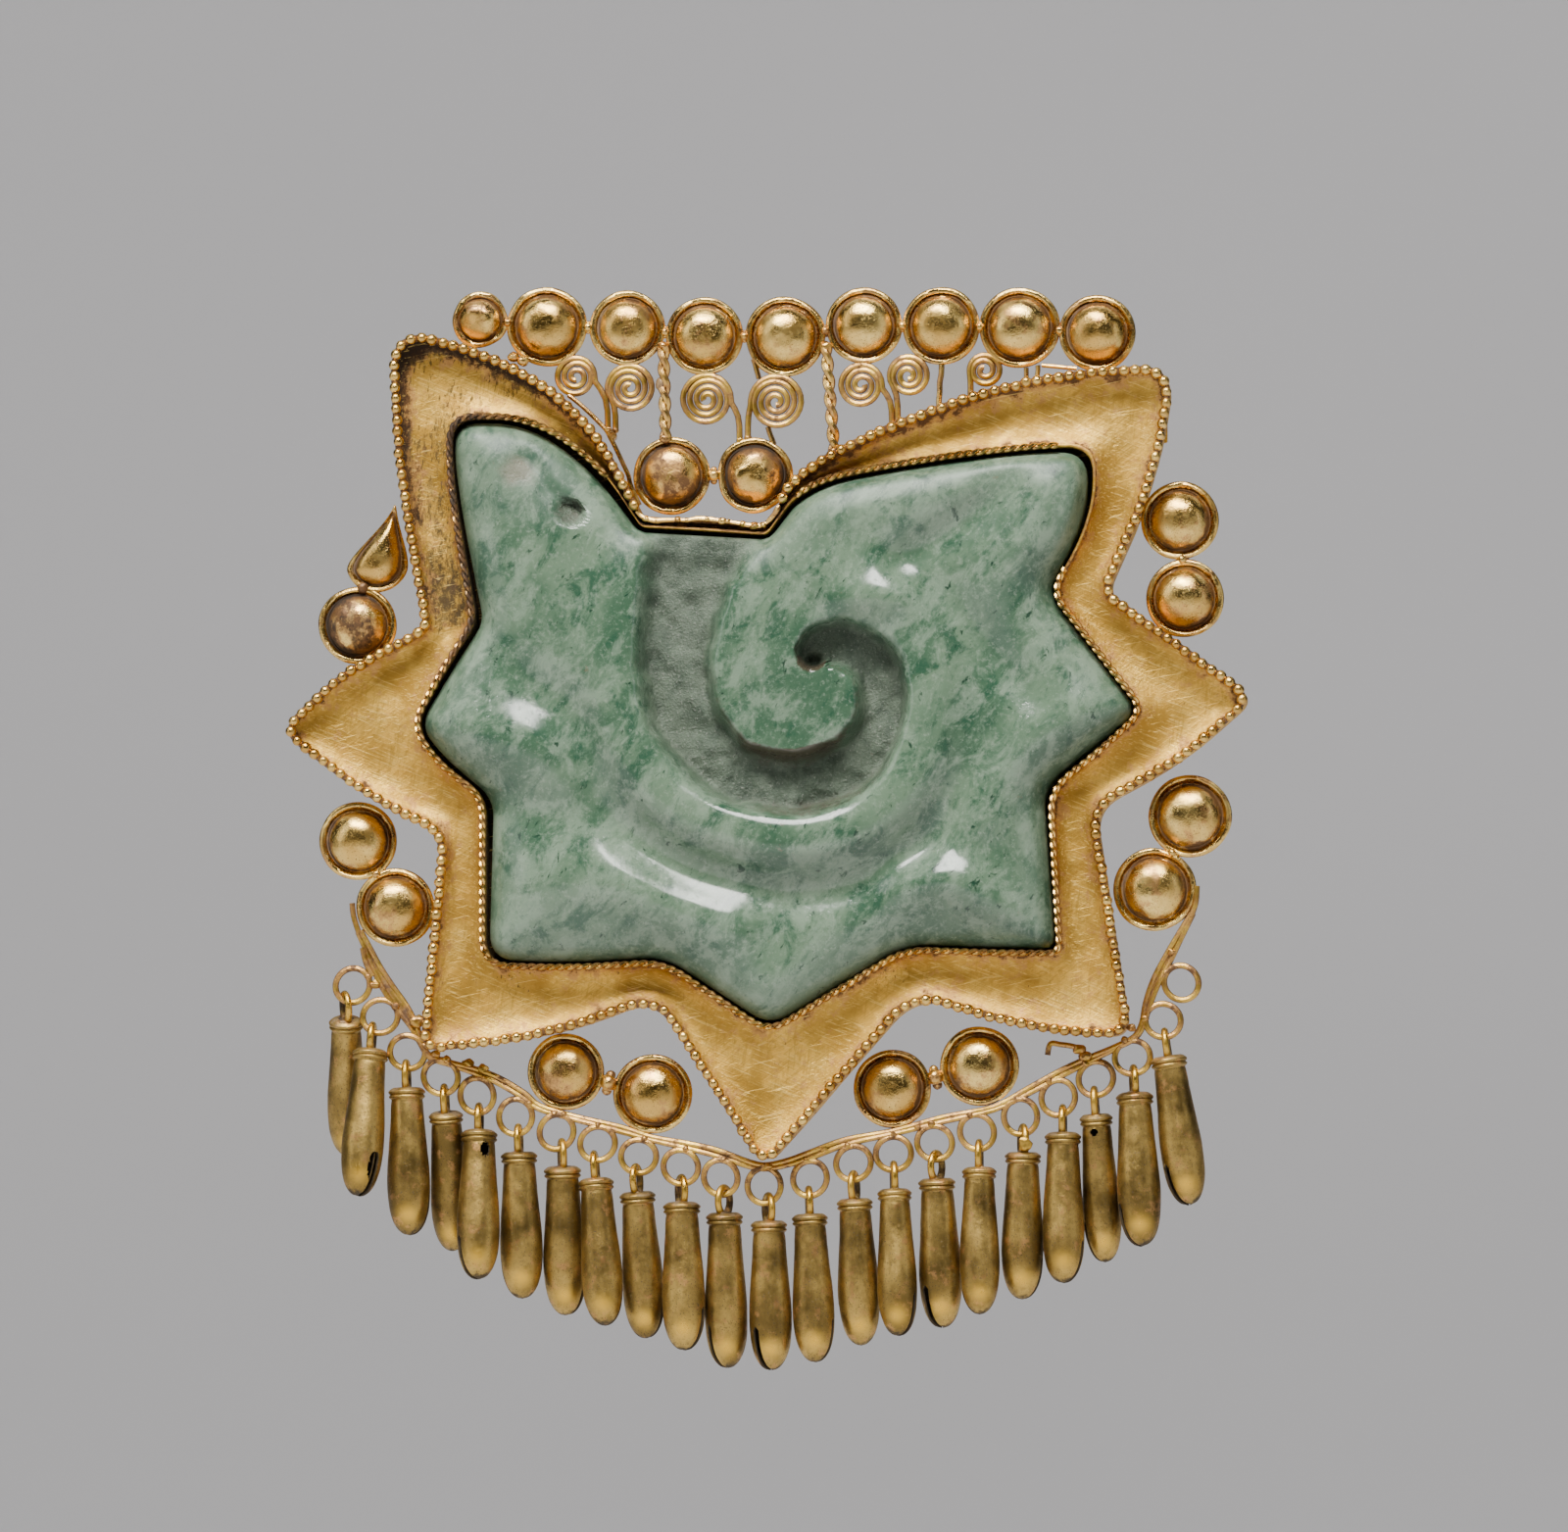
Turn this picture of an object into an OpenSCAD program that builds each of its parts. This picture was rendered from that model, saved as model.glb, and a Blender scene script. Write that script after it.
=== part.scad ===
// Pectoral ornament: a carved jade plaque in a beaded gold tray, with a crest of
// domed bosses and wire scrolls, and a fringe of slit bells on rings.
// It hangs upright. X is to the viewer's right, Z is up, and the front faces -Y.
// The origin is on the cord's line, halfway between the two tubes on the back.
// Depth is measured from the flat back of the tray towards the viewer.

/* [Frame] */
// Height of the beaded outer wall above the back
wall_depth = 4.2; // [3.8:0.1:4.8]
// Height of the bezel wall round the jade above the back
bezel_depth = 4.3; // [3.9:0.1:4.8]
// Height of the hollow of the trough above the back
trough_depth = 3.0; // [2.4:0.1:3.2]
// Thickness of the hammered sheet
sheet = 0.4; // [0.3:0.05:0.5]
// Width of the ledge that the jade rests on
ledge_width = 0.8; // [0.5:0.1:1.0]
// Diameter of the beaded border
bead_diameter = 1.0; // [0.8:0.1:1.2]
// Diameter of the rope border on the bezel
rope_diameter = 0.7; // [0.5:0.1:0.8]

/* [Jade] */
// Thickness of the plaque at its edge
jade_edge = 3.2; // [2.6:0.1:3.6]
// Rise from the edge to the pillowed top
jade_rise = 2.6; // [1.5:0.1:3.5]
// Height of the spiral groove's floor above the plaque's back
groove_floor = 3.5; // [2.5:0.1:4.0]

/* [Bosses] */
// Height of a boss's back above the tray's back
boss_back = 1.9; // [1.4:0.1:2.2]
// Dome radius as a share of the boss's radius
dome_share = 0.73; // [0.6:0.01:0.8]
// Dome height as a share of the dome's radius
dome_height_share = 0.72; // [0.5:0.01:0.9]
// Thickness of the boss's sheet
boss_sheet = 0.3; // [0.2:0.05:0.4]
// Diameter of the wire round a boss
rim_wire = 0.42; // [0.3:0.02:0.5]

/* [Crest wires] */
// Width of the scroll wire
scroll_wire = 0.34; // [0.28:0.02:0.4]
// Distance from one turn of a scroll to the next
scroll_pitch = 0.46; // [0.44:0.02:0.6]

/* [Rail and rings] */
// Height of the rings' middle above the tray's back
rail_depth = 2.2; // [1.6:0.1:2.6]
// Thickness of the rail, front to back
rail_thick = 0.6; // [0.5:0.1:0.9]
// Outer diameter of a ring
ring_diameter = 3.32; // [3.2:0.02:3.32]
// Diameter of a ring's wire
ring_wire = 0.4; // [0.3:0.05:0.45]

/* [Bells] */
// Greatest radius of a bell
bell_radius = 1.7; // [1.5:0.05:1.72]
// Wall of a bell
bell_wall = 0.28; // [0.2:0.02:0.35]
// Diameter of the bail's wire
bail_wire = 0.54; // [0.4:0.02:0.6]
// Outer diameter of the bail
bail_diameter = 2.84; // [2.6:0.02:3.0]
// Clearance between a ring's wire and the bail that hangs on it
hang_clear = 0.12; // [0.08:0.01:0.2]
// Width of the slit across a bell's foot
slit_width = 0.6; // [0.4:0.05:0.8]
// Height of the slit from the bell's foot
slit_height = 3.7; // [2.5:0.1:4.5]

/* [Suspension] */
// Bore radius of a cord tube
tube_bore = 0.9; // [0.7:0.05:1.0]
// Outer radius of a cord tube
tube_radius = 1.3; // [1.2:0.05:1.4]
// Length of a cord tube
tube_length = 4; // [3:0.5:5]

/* [Hidden] */
// Y of the tray's flat back, behind which the cord tubes stand
back_y = -1.6;
// Steps along each rounded corner of the tray's outlines
corner_steps = 4;
// A cut this long always reaches the middle of both edges, so the corner is one long curve
smooth = 99;
// Small clearance between pieces that are soldered or seated on each other
seat_gap = 0.03;
soft_gold = [0.83, 0.63, 0.28];
old_gold = [0.60, 0.46, 0.20];
jade_green = [0.45, 0.62, 0.52];

// Corners of the tray's outline along the middle of the beads, clockwise from the top left,
// and the matching corners of the bezel round the jade. Each corner is cut to a curve.
//              outer x, z, cut     inner x, z, cut
tray_corners = [[-32.1,   8.0, 3.8,    -27.2,   0.5, 2.1],
                [-22.6,   5.3, smooth, -20.5,   0.5, smooth],
                [-15.5,   0.4, smooth, -14.7,  -3.3, smooth],
                [-10.9,  -8.2, 0.7,    -10.9,  -8.9, 0.5],
                [ -0.1,  -8.9, 0.7,     -0.2,  -9.6, 0.5],
                [  2.4,  -4.3, smooth,   3.0,  -5.2, smooth],
                [ 12.0,   0.2, smooth,  12.0,  -3.6, smooth],
                [ 22.8,   3.5, smooth,  21.2,  -2.4, smooth],
                [ 34.3,   4.3, 3.2,     27.7,  -2.2, 2.5],
                [ 32.7,  -5.0, smooth,  27.6,  -8.3, smooth],
                [ 28.4, -14.8, 1.5,     24.1, -14.8, 1.5],
                [ 40.9, -23.8, 1.8,     31.8, -24.8, 1.5],
                [ 34.9, -29.0, smooth,  28.2, -28.2, smooth],
                [ 27.4, -33.0, 2.3,     23.9, -31.5, 2.1],
                [ 30.5, -52.3, 2.2,     24.7, -45.4, 1.0],
                [ 22.0, -51.6, smooth,  18.7, -45.3, smooth],
                [ 12.2, -48.7, 2.9,     11.6, -45.0, 2.1],
                [ -0.4, -63.1, 1.7,      0.0, -52.0, 1.8],
                [ -9.5, -48.8, 3.0,     -9.0, -46.0, 2.1],
                [-18.8, -52.1, smooth, -17.2, -46.5, smooth],
                [-29.4, -53.3, 1.7,    -24.4, -46.2, 2.3],
                [-27.6, -34.8, 2.5,    -24.4, -31.9, 1.7],
                [-33.8, -32.0, smooth, -28.2, -29.1, smooth],
                [-41.4, -26.2, 1.7,    -30.4, -25.8, 1.7],
                [-36.2, -21.2, smooth, -27.8, -21.0, smooth],
                [-29.1, -17.6, 1.2,    -25.2, -17.0, 1.2],
                [-31.7,  -3.3, smooth, -27.3,  -5.0, smooth]];
// Index of the corners on either side of the notch, which has no beads and no rope
notch_left = 3;
notch_right = 4;
// Points past the last full corner where the beads and the rope run out into the notch
bead_end = [-11.45, -7.1];
rope_end = [-13.5, -5.2];

// Corners of the jade's edge, matching the bezel's. It is worn, so its gaps are uneven.
jade_corners = [[-26.9,   0.0, 2.1], [-20.7,  -0.1, smooth], [-15.2,  -4.1, smooth],
                [-11.2,  -9.4, 0.8], [  0.0, -10.1, 0.8],    [  3.3,  -5.7, smooth],
                [ 12.0,  -4.1, smooth], [ 21.2, -2.9, smooth], [27.1,  -2.8, 2.5],
                [ 26.9,  -8.5, smooth], [ 23.6, -14.8, 1.5], [ 31.3, -24.8, 1.5],
                [ 27.6, -27.8, smooth], [ 23.2, -31.2, 2.1], [ 24.2, -44.9, 1.0],
                [ 18.6, -44.8, smooth], [ 11.6, -44.5, 2.1], [  0.0, -51.4, 1.8],
                [ -9.0, -45.5, 2.1],    [-17.2, -46.0, smooth], [-23.9, -45.7, 2.3],
                [-23.5, -32.0, 1.7],    [-27.4, -28.9, smooth], [-29.9, -25.8, 1.7],
                [-27.2, -21.3, smooth], [-24.4, -17.0, 1.0], [-26.8,  -5.0, smooth]];
jade_centre = [0, -27.5];
// Shares of the way from the centre to the edge at which the carved face is sampled
jade_rings = [1, 0.985, 0.96, 0.93, 0.89, 0.85, 0.81, 0.77, 0.73, 0.69, 0.65, 0.61, 0.57, 0.53,
              0.49, 0.45, 0.41, 0.37, 0.33, 0.29, 0.25, 0.21, 0.17, 0.13, 0.09, 0.05];
// Steps along each rounded corner of the jade's edge
jade_steps = 3;

// The spiral groove from the notch round to the drilled pit: x, z, half width
groove_path = [[-3.7, -6.2, 5.0], [-5.9, -10.8, 4.2], [-7.4, -17.5, 3.4], [-6.2, -25.0, 3.2],
               [-2.2, -30.4, 2.9], [2.8, -31.3, 2.3], [7.8, -29.6, 2.1], [9.9, -25.9, 2.2],
               [9.9, -22.5, 2.1], [7.8, -19.6, 2.1], [5.3, -18.8, 2.0], [3.6, -19.9, 1.2]];
// Soft ridges and hollows of the carved face: rows of x, z, height, width
relief = [[[-14.0, -13.0, 0.3, 2.6], [-14.2, -21.0, 0.7, 2.6], [-12.8, -27.5, 1.0, 2.4],
           [-8.8, -32.9, 1.3, 2.4], [-3.0, -35.0, 1.4, 2.4], [3.7, -35.8, 1.4, 2.4],
           [9.5, -34.0, 1.3, 2.3], [13.3, -30.0, 1.1, 2.3], [14.5, -25.0, 0.8, 2.4],
           [13.7, -19.6, 0.7, 2.4], [10.8, -15.4, 0.7, 2.4], [7.0, -13.3, 0.6, 2.4]],
          [[-18.8, -39.2, 0.7, 3.0], [-12.2, -39.6, 0.9, 2.8], [-3.8, -42.9, 0.7, 2.8]],
          [[11.2, -40.0, 0.6, 2.8], [16.2, -39.6, 0.9, 2.8], [20.3, -42.1, 0.6, 2.8]],
          [[-27.5, -26.5, 0.7, 2.8], [-20.5, -27.7, 0.9, 2.8], [-17.6, -30.0, 0.5, 2.8]],
          [[28.7, -25.4, 0.6, 2.8], [22.8, -27.9, 0.8, 2.8], [17.8, -33.3, 0.5, 2.8]],
          [[5.3, -7.5, 0.3, 2.8], [13.7, -5.8, 0.4, 2.6], [21.2, -3.8, 0.4, 2.6]],
          [[24.5, -7.5, 0.5, 2.6], [20.3, -12.5, 0.6, 2.6], [18.0, -15.0, 0.3, 2.6]],
          [[11.2, -12.0, -0.8, 1.3], [15.7, -9.6, -0.9, 1.3], [20.3, -5.8, -0.6, 1.3]],
          [[14.5, -13.4, -0.5, 1.6], [17.4, -17.5, -0.7, 1.6], [20.3, -21.7, -0.7, 1.6],
           [22.4, -23.8, -0.4, 1.6]],
          [[-15.9, -26.7, -0.5, 1.7], [-13.8, -33.3, -0.9, 1.8], [-8.0, -37.9, -1.0, 1.8],
           [-2.2, -39.6, -0.9, 1.8], [3.7, -40.2, -0.9, 1.8], [8.7, -39.2, -1.0, 1.8],
           [13.7, -35.8, -0.9, 1.8], [17.0, -30.8, -0.6, 1.8], [19.4, -26.7, -0.4, 1.8]],
          [[-15.5, -25.8, -0.4, 2.0], [-20.0, -22.5, -0.6, 2.0], [-23.8, -19.2, -0.4, 2.0]],
          [[-23.0, -33.0, -0.5, 2.0], [-18.5, -33.6, -0.4, 2.0]],
          [[1.2, -40.8, -0.3, 2.4], [0.8, -44.2, -0.4, 2.4]]];

// Bosses of the crest's row, left to right: x, z, radius
crest_row = [[-24.9, 8.9, 2.3], [-19.2, 8.3, 3.3], [-12.3, 8.1, 3.1], [-5.7, 7.4, 3.2],
             [1.2, 7.3, 3.3], [7.9, 8.2, 3.15], [14.5, 8.1, 3.2], [21.2, 7.9, 3.3],
             [27.8, 7.4, 3.15]];
notch_pair = [[-8.5, -4.5, 3.2], [-1.4, -4.5, 3.1]];
left_upper = [-35.4, -17.1, 3.2];
left_lower_pair = [[-35.3, -35.5, 3.2], [-32.1, -41.2, 3.25]];
right_upper_pair = [[34.8, -8.6, 3.2], [35.2, -15.2, 3.2]];
right_lower_pair = [[35.6, -33.7, 3.4], [32.6, -39.9, 3.4]];
bottom_left_pair = [[-17.5, -55.2, 3.15], [-10.1, -57.1, 3.25]];
bottom_right_pair = [[10.3, -56.7, 3.2], [17.7, -54.8, 3.25]];
// The bent boss at the upper left: x, z, radius, and how far it is folded back
bent_boss = [-33.9, -11.3, 3.0];
bent_tilt = 58;
bent_turn = 20;
// Solder that holds it to the boss below: x, z, radius
bent_solder = [-34.9, -13.6, 0.6];

// Wire scrolls: x, z, outer radius, side of the stem, x and z of the stem's foot
scrolls = [[-16.7, 4.0,  1.80,  1, -13.95, -0.55],
           [-12.1, 3.0,  2.10, -1, -13.3,  -0.6],
           [ -5.5, 2.0,  2.25,  1,  -2.7,  -1.5],
           [  0.4, 1.75, 2.35, -1,  -2.0,  -1.3],
           [  7.7, 3.1,  1.95,  1,  10.3,  -0.2],
           [ 11.7, 3.9,  1.80, -1,  10.8,   0.0],
           [ 18.2, 4.3,  1.50, -1,  17.0,   2.35]];
// Posts and stubs of wire between the bosses and what stands below: x, z at the top,
// x, z below, diameter
posts = [[-9.2, 6.1, -9.0, -1.2, 0.9],
         [4.7, 6.0, 5.4, -2.4, 0.9],
         [14.5, 4.8, 14.3, 1.2, 0.5],
         [21.7, 4.5, 21.7, 3.3, 0.42],
         [22.7, 4.7, 22.7, 3.5, 0.42],
         [26.0, 4.4, 23.1, 4.7, 0.36],
         [-1.5, 5.0, -1.2, 3.95, 0.36],
         [0.1, -0.9, 0.3, -1.5, 0.36]];
// Plain wire laid along the outside of the beads above the notch: x, z, half width
edge_wire = [[-13.65, -1.25, 0.2], [-13.2, -2.1, 0.2], [-12.5, -3.6, 0.2], [-12.05, -4.6, 0.2],
             [-11.85, -5.4, 0.2], [-11.1, -7.1, 0.2]];

// Rail below the bottom star points, left to right: x, z, half width
rail_path = [[-35.2, -43.2, 0.30], [-34.4, -44.8, 0.38], [-33.6, -46.5, 0.50], [-32.6, -48.2, 0.60],
             [-31.45, -49.8, 0.58], [-30.5, -51.3, 0.42], [-29.9, -52.7, 0.25], [-29.1, -53.9, 0.25],
             [-27.3, -54.5, 0.27], [-25.3, -55.1, 0.36], [-23.3, -55.9, 0.40], [-21.1, -57.2, 0.38],
             [-19.8, -58.2, 0.32], [-16.8, -59.1, 0.30], [-12.8, -60.1, 0.36], [-10.1, -60.9, 0.30],
             [-7.2, -61.5, 0.38], [-4.7, -62.1, 0.42], [-1.8, -63.1, 0.36], [-0.3, -63.3, 0.34],
             [1.6, -62.9, 0.36], [3.4, -62.3, 0.42], [6.4, -61.2, 0.38], [10.4, -60.4, 0.30],
             [14.7, -59.3, 0.36], [18.9, -58.4, 0.30], [22.1, -56.8, 0.38], [24.9, -55.3, 0.40],
             [27.2, -54.2, 0.33], [29.2, -53.3, 0.25], [30.9, -52.4, 0.25], [31.6, -51.2, 0.28],
             [32.0, -49.6, 0.38], [32.7, -47.7, 0.45], [33.7, -45.8, 0.45], [34.7, -43.9, 0.36],
             [35.8, -41.9, 0.25]];
// Rings under the rail, left to right: x, z of each middle. The last one has lost its bell.
rings = [[-35.75, -47.8], [-33.38, -50.45], [-31.05, -53.5], [-28.2, -55.6], [-25.1, -57.2],
         [-21.8, -59.0], [-18.3, -60.3], [-14.8, -61.3], [-11.3, -62.4], [-7.7, -63.3],
         [-4.3, -64.2], [-0.6, -64.9], [3.3, -64.3], [7.0, -63.0], [10.4, -62.2],
         [13.9, -61.3], [17.5, -60.4], [21.2, -59.1], [24.4, -57.5], [27.6, -55.9],
         [30.7, -54.1], [33.3, -51.0], [34.85, -47.8]];
// Lump of solder that reaches from the rail to the first ring, beyond the rail's free tip
first_solder = [-33.85, -47.7, 0.42];
// Bells, left to right: x of the collar, x of the foot, length from collar to foot,
// how far the foot leans back, angle of the slit round the bell, turn of the bail
bells = [[-36.4, -36.7, 11.8,  4.2,  80, 20], [-34.2, -35.0, 12.1, -1.8,  55, 0],
         [-31.1, -30.8, 12.0,  0.2,  85,  0], [-27.8, -27.3, 11.4,  1.3,  60, 0],
         [-24.9, -24.8, 12.2, -1.3, 105,  0], [-21.5, -21.2, 11.9,  0.0, 100, 0],
         [-17.8, -17.6, 12.1,  0.6,  72, 12], [-14.9, -14.0, 12.0, -0.6,  88, 0],
         [-11.4, -10.7, 11.9,  0.4,  75, -10], [-7.6, -7.3, 12.0, -0.2, 72, 20],
         [ -4.0,  -3.8, 12.6,  0.0, 112, -20], [-0.2, 0.0, 12.1,  0.2, 125, 20],
         [  3.3,   3.8, 12.0, -0.2,  75,  8], [  7.1,  7.6, 11.9,  0.5,  95, -8],
         [ 10.5,  10.9, 11.9, -0.5,  68,  8], [ 14.1, 14.5, 12.1,  0.3, 120, -20],
         [ 17.7,  17.8, 11.9, -0.2, 100,  0], [ 21.4, 21.3, 11.9,  0.2,  78, 15],
         [ 24.8,  24.9, 12.2, -0.6,  75,  0], [ 27.6, 28.3, 12.0,  0.8,  85, 0],
         [ 30.9,  31.5, 12.5, -0.6,  92, 10], [ 33.8, 35.5, 12.2,  0.2,  95, 0]];
// Section of a bell: share of the radius, share of the length below the cap
bell_section = [[0.76, 0.000], [0.83, 0.009], [0.83, 0.024], [0.77, 0.033], [0.82, 0.041],
                [0.82, 0.053], [0.75, 0.064], [0.77, 0.100], [0.81, 0.240], [0.87, 0.420],
                [0.95, 0.610], [1.00, 0.740], [0.98, 0.820], [0.89, 0.890], [0.72, 0.945],
                [0.47, 0.983], [0.23, 0.997]];
// The part of a bell's length that lies above the middle of its collar
collar_share = 0.4;
// How far the bail is sunk into the cap
bail_sink = 0.25;

// Feet of the cord tubes on the tray's back: x of the tube's middle, x of the foot's ends
left_tube = [-29.7, -32.2, -27.1];
right_tube = [29.7, 27.2, 33.6];
foot_height = 3.6;

scroll_names = [for (i = [1 : len(scrolls)]) str("scroll_", i)];
post_names = [for (i = [1 : len(posts)]) str("post_", i)];
bell_names = [for (i = [1 : len(bells)]) str("bell_", i < 10 ? "0" : "", i)];

// Helpers
function clamp01(t) = min(1, max(0, t));
function smooth01(t) = let (u = clamp01(t)) u * u * (3 - 2 * u);
function flat(p) = [p[0], p[1]];
function sum(list) = [for (a = list) 1] * list;
// A point of the drawing, x and z, put at a height above the tray's back
function at(p, height) = [p[0], back_y - height, p[1]];
// The point a given distance from one corner towards another, and no further than halfway
function towards(a, b, cut) = a + (b - a) * min(0.5, cut / norm(b - a));
function bezier(a, b, c, t) = (1 - t) * (1 - t) * a + 2 * t * (1 - t) * b + t * t * c;
// Closed outline of rows of x, z, cut, with every corner rounded in equal steps
function rounded(rows, steps) = [
    for (i = [0 : len(rows) - 1])
        let (v = flat(rows[i]),
             a = towards(v, flat(rows[(i + len(rows) - 1) % len(rows)]), rows[i][2]),
             b = towards(v, flat(rows[(i + 1) % len(rows)]), rows[i][2]))
            for (k = [0 : steps]) bezier(a, v, b, k / steps)];
// Smooth open curve through rows of numbers, with a few steps from row to row
function catmull(p0, p1, p2, p3, t) =
    0.5 * (2 * p1 + (p2 - p0) * t + (2 * p0 - 5 * p1 + 4 * p2 - p3) * t * t
           + (3 * p1 - p0 - 3 * p2 + p3) * t * t * t);
function smoothed(rows, steps) = concat(
    [for (i = [0 : len(rows) - 2], k = [0 : steps - 1])
        catmull(rows[max(0, i - 1)], rows[i], rows[i + 1], rows[min(len(rows) - 1, i + 2)], k / steps)],
    [rows[len(rows) - 1]]);
// The row between rows a and b that is nearest to a point, with its numbers interpolated
function along(p, a, b) = a + (b - a) * clamp01(((p - flat(a)) * (flat(b) - flat(a)))
                                                 / pow(norm(flat(b) - flat(a)), 2));

// Faces of a closed mesh of rings of points, each ring joined to the next
function loft_faces(rows, columns, closed) = [
    for (i = [0 : rows - (closed ? 1 : 2)], j = [0 : columns - 1])
        let (a = i * columns + j, b = i * columns + (j + 1) % columns,
             c = ((i + 1) % rows) * columns + (j + 1) % columns, d = ((i + 1) % rows) * columns + j)
            each [[a, b, c], [a, c, d]]];

// Round wire along a path of 3D points, open with flat ends or closed
module wire_along(path, radius, sides, closed = false) {
    n = len(path);
    points = [for (i = [0 : n - 1])
        let (before = path[closed ? (i + n - 1) % n : max(0, i - 1)],
             after = path[closed ? (i + 1) % n : min(n - 1, i + 1)],
             forward = (after - before) / norm(after - before),
             across = cross(forward, [0, 1, 0]))
            for (k = [0 : sides - 1])
                path[i] + radius * (cos(360 * k / sides) * across + sin(360 * k / sides) * [0, 1, 0])];
    ends = closed ? [] : [[for (k = [sides - 1 : -1 : 0]) k], [for (k = [0 : sides - 1]) (n - 1) * sides + k]];
    polyhedron(points, concat(loft_faces(n, sides, closed), ends));
}

// Flat strip along rows of x, z, half width, as thick as given, its middle at a height
function strip_side(rows, side) = [
    for (i = [0 : len(rows) - 1])
        let (step = flat(rows[min(len(rows) - 1, i + 1)]) - flat(rows[max(0, i - 1)]),
             across = [-step[1], step[0]] / norm(step))
            flat(rows[i]) + side * rows[i][2] * across];
module strip(rows, thick, height) {
    left = strip_side(rows, 1);
    right = strip_side(rows, -1);
    translate([0, back_y - height + thick / 2, 0]) rotate([90, 0, 0])
        linear_extrude(thick) polygon(concat(left, [for (i = [len(right) - 1 : -1 : 0]) right[i]]));
}

// Jade
jade_back = 0.6;
// Distance from the edge over which the face rounds over
edge_round = 1.3;
// The groove's floor reaches this share of its half width, and its wall is this share wide
floor_share = 0.5;
wall_share = 0.65;
groove = smoothed(groove_path, 4);
function groove_share(p) = min([for (i = [0 : len(groove) - 2])
    let (near = along(p, groove[i], groove[i + 1])) norm(p - flat(near)) / near[2]]);
function nearest_row(p, rows) =
    let (near = [for (i = [0 : len(rows) - 2]) along(p, rows[i], rows[i + 1])],
         far = [for (row = near) norm(p - flat(row))])
        near[search([min(far)], [for (d = far) [d]])[0]];
function relief_at(p) = sum([for (rows = relief)
    let (near = nearest_row(p, rows)) near[2] * exp(-pow(norm(p - flat(near)) / near[3], 2))]);
function edge_distance(p, corners) = min([for (i = [0 : len(corners) - 1])
    norm(p - flat(along(p, corners[i], corners[(i + 1) % len(corners)])))]);
function jade_height(p, edge) =
    let (body = jade_edge + (jade_rise + relief_at(p)) * (1 - exp(-edge_distance(p, edge) / edge_round)),
         carved = 1 - smooth01((groove_share(p) - floor_share) / wall_share))
        body + (groove_floor - body) * carved;

module jade_plaque() {
    edge = rounded(jade_corners, jade_steps);
    n = len(edge);
    front = [for (share = jade_rings, p = edge)
        let (q = jade_centre + (p - jade_centre) * share)
            at(q, jade_back + (share == 1 ? jade_edge : jade_height(q, edge)))];
    back = [for (p = edge) at(p, jade_back)];
    points = concat(back, front, [at(jade_centre, jade_back + jade_height(jade_centre, edge)),
                                  at(jade_centre, jade_back)]);
    rows = len(jade_rings) + 1;
    last = (rows - 1) * n;
    color(jade_green) polyhedron(points, concat(
        loft_faces(rows, n, false),
        [for (j = [0 : n - 1]) [last + (j + 1) % n, rows * n, last + j]],
        [for (j = [0 : n - 1]) [j, rows * n + 1, (j + 1) % n]]));
}

// Tray: outer wall, dished floor and bezel in one bent sheet, open at the back
outer_line = rounded([for (row = tray_corners) [row[0], row[1], row[2]]], corner_steps);
inner_line = rounded([for (row = tray_corners) [row[3], row[4], row[5]]], corner_steps);
floor_rise = 0.75;
ledge_thick = 0.5;
// Section from the outer wall to the ledge: distance from the outer line, height above the back
function tray_section(width) =
    let (t = min(sheet, width / 3), side = trough_depth + floor_rise)
        [[-t / 2, 0], [-t / 2, wall_depth], [t / 2, wall_depth], [t / 2, side],
         [0.22 * width, trough_depth + 0.3 * floor_rise], [0.5 * width, trough_depth],
         [0.78 * width, trough_depth + 0.3 * floor_rise], [width - t / 2, side],
         [width - t / 2, bezel_depth], [width + t / 2, bezel_depth], [width + t / 2, ledge_thick],
         [width + t / 2 + ledge_width, ledge_thick], [width + t / 2 + ledge_width, 0],
         [width - t / 2, 0], [width - t / 2, side - sheet], [0.5 * width, trough_depth - sheet],
         [t / 2, side - sheet], [t / 2, 0]];

module frame_tray() {
    points = [for (i = [0 : len(outer_line) - 1])
        let (span = inner_line[i] - outer_line[i], inward = span / norm(span))
            for (s = tray_section(norm(span))) at(outer_line[i] + s[0] * inward, s[1])];
    color(soft_gold) polyhedron(points, loft_faces(len(outer_line), len(tray_section(1)), true));
}

// The run of an outline from the notch's right side all the way round to its left side,
// stopping a number of stations short at both ends
function past_notch(line, short) = [for (i = [short : len(line) - 1 - 2 * (corner_steps + 1) - short])
    line[(i + (notch_right + 1) * (corner_steps + 1)) % len(line)]];

module beaded_wire() {
    height = wall_depth + bead_diameter / 2 + seat_gap;
    color(soft_gold) wire_along([for (p = concat(past_notch(outer_line, 0), [bead_end])) at(p, height)],
                                bead_diameter / 2, 8);
}

module rope_wire() {
    height = bezel_depth + rope_diameter / 2 + seat_gap;
    color(soft_gold) wire_along([for (p = concat(past_notch(inner_line, 1), [rope_end])) at(p, height)],
                                rope_diameter / 2, 6);
}

// Bosses
dome_steps = 6;
function boss_section(radius) =
    let (dome = radius * dome_share, rise = dome * dome_height_share, inner = dome - boss_sheet)
        concat([[radius, 0], [radius, rim_wire], [radius - 0.3 * rim_wire, 1.35 * rim_wire],
                [radius - 0.7 * rim_wire, 1.35 * rim_wire], [radius - rim_wire, rim_wire],
                [radius - rim_wire, boss_sheet]],
               [for (k = [0 : dome_steps])
                   [dome * cos(90 * k / dome_steps), boss_sheet + rise * sin(90 * k / dome_steps)]],
               [for (k = [dome_steps : -1 : 0])
                   [inner * cos(90 * k / dome_steps), rise * sin(90 * k / dome_steps)]]);
module boss_shape(radius) {
    rotate([90, 0, 0]) rotate_extrude($fn = 48) polygon(boss_section(radius));
}
module boss(row) {
    translate(at(row, boss_back)) boss_shape(row[2]);
}
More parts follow.
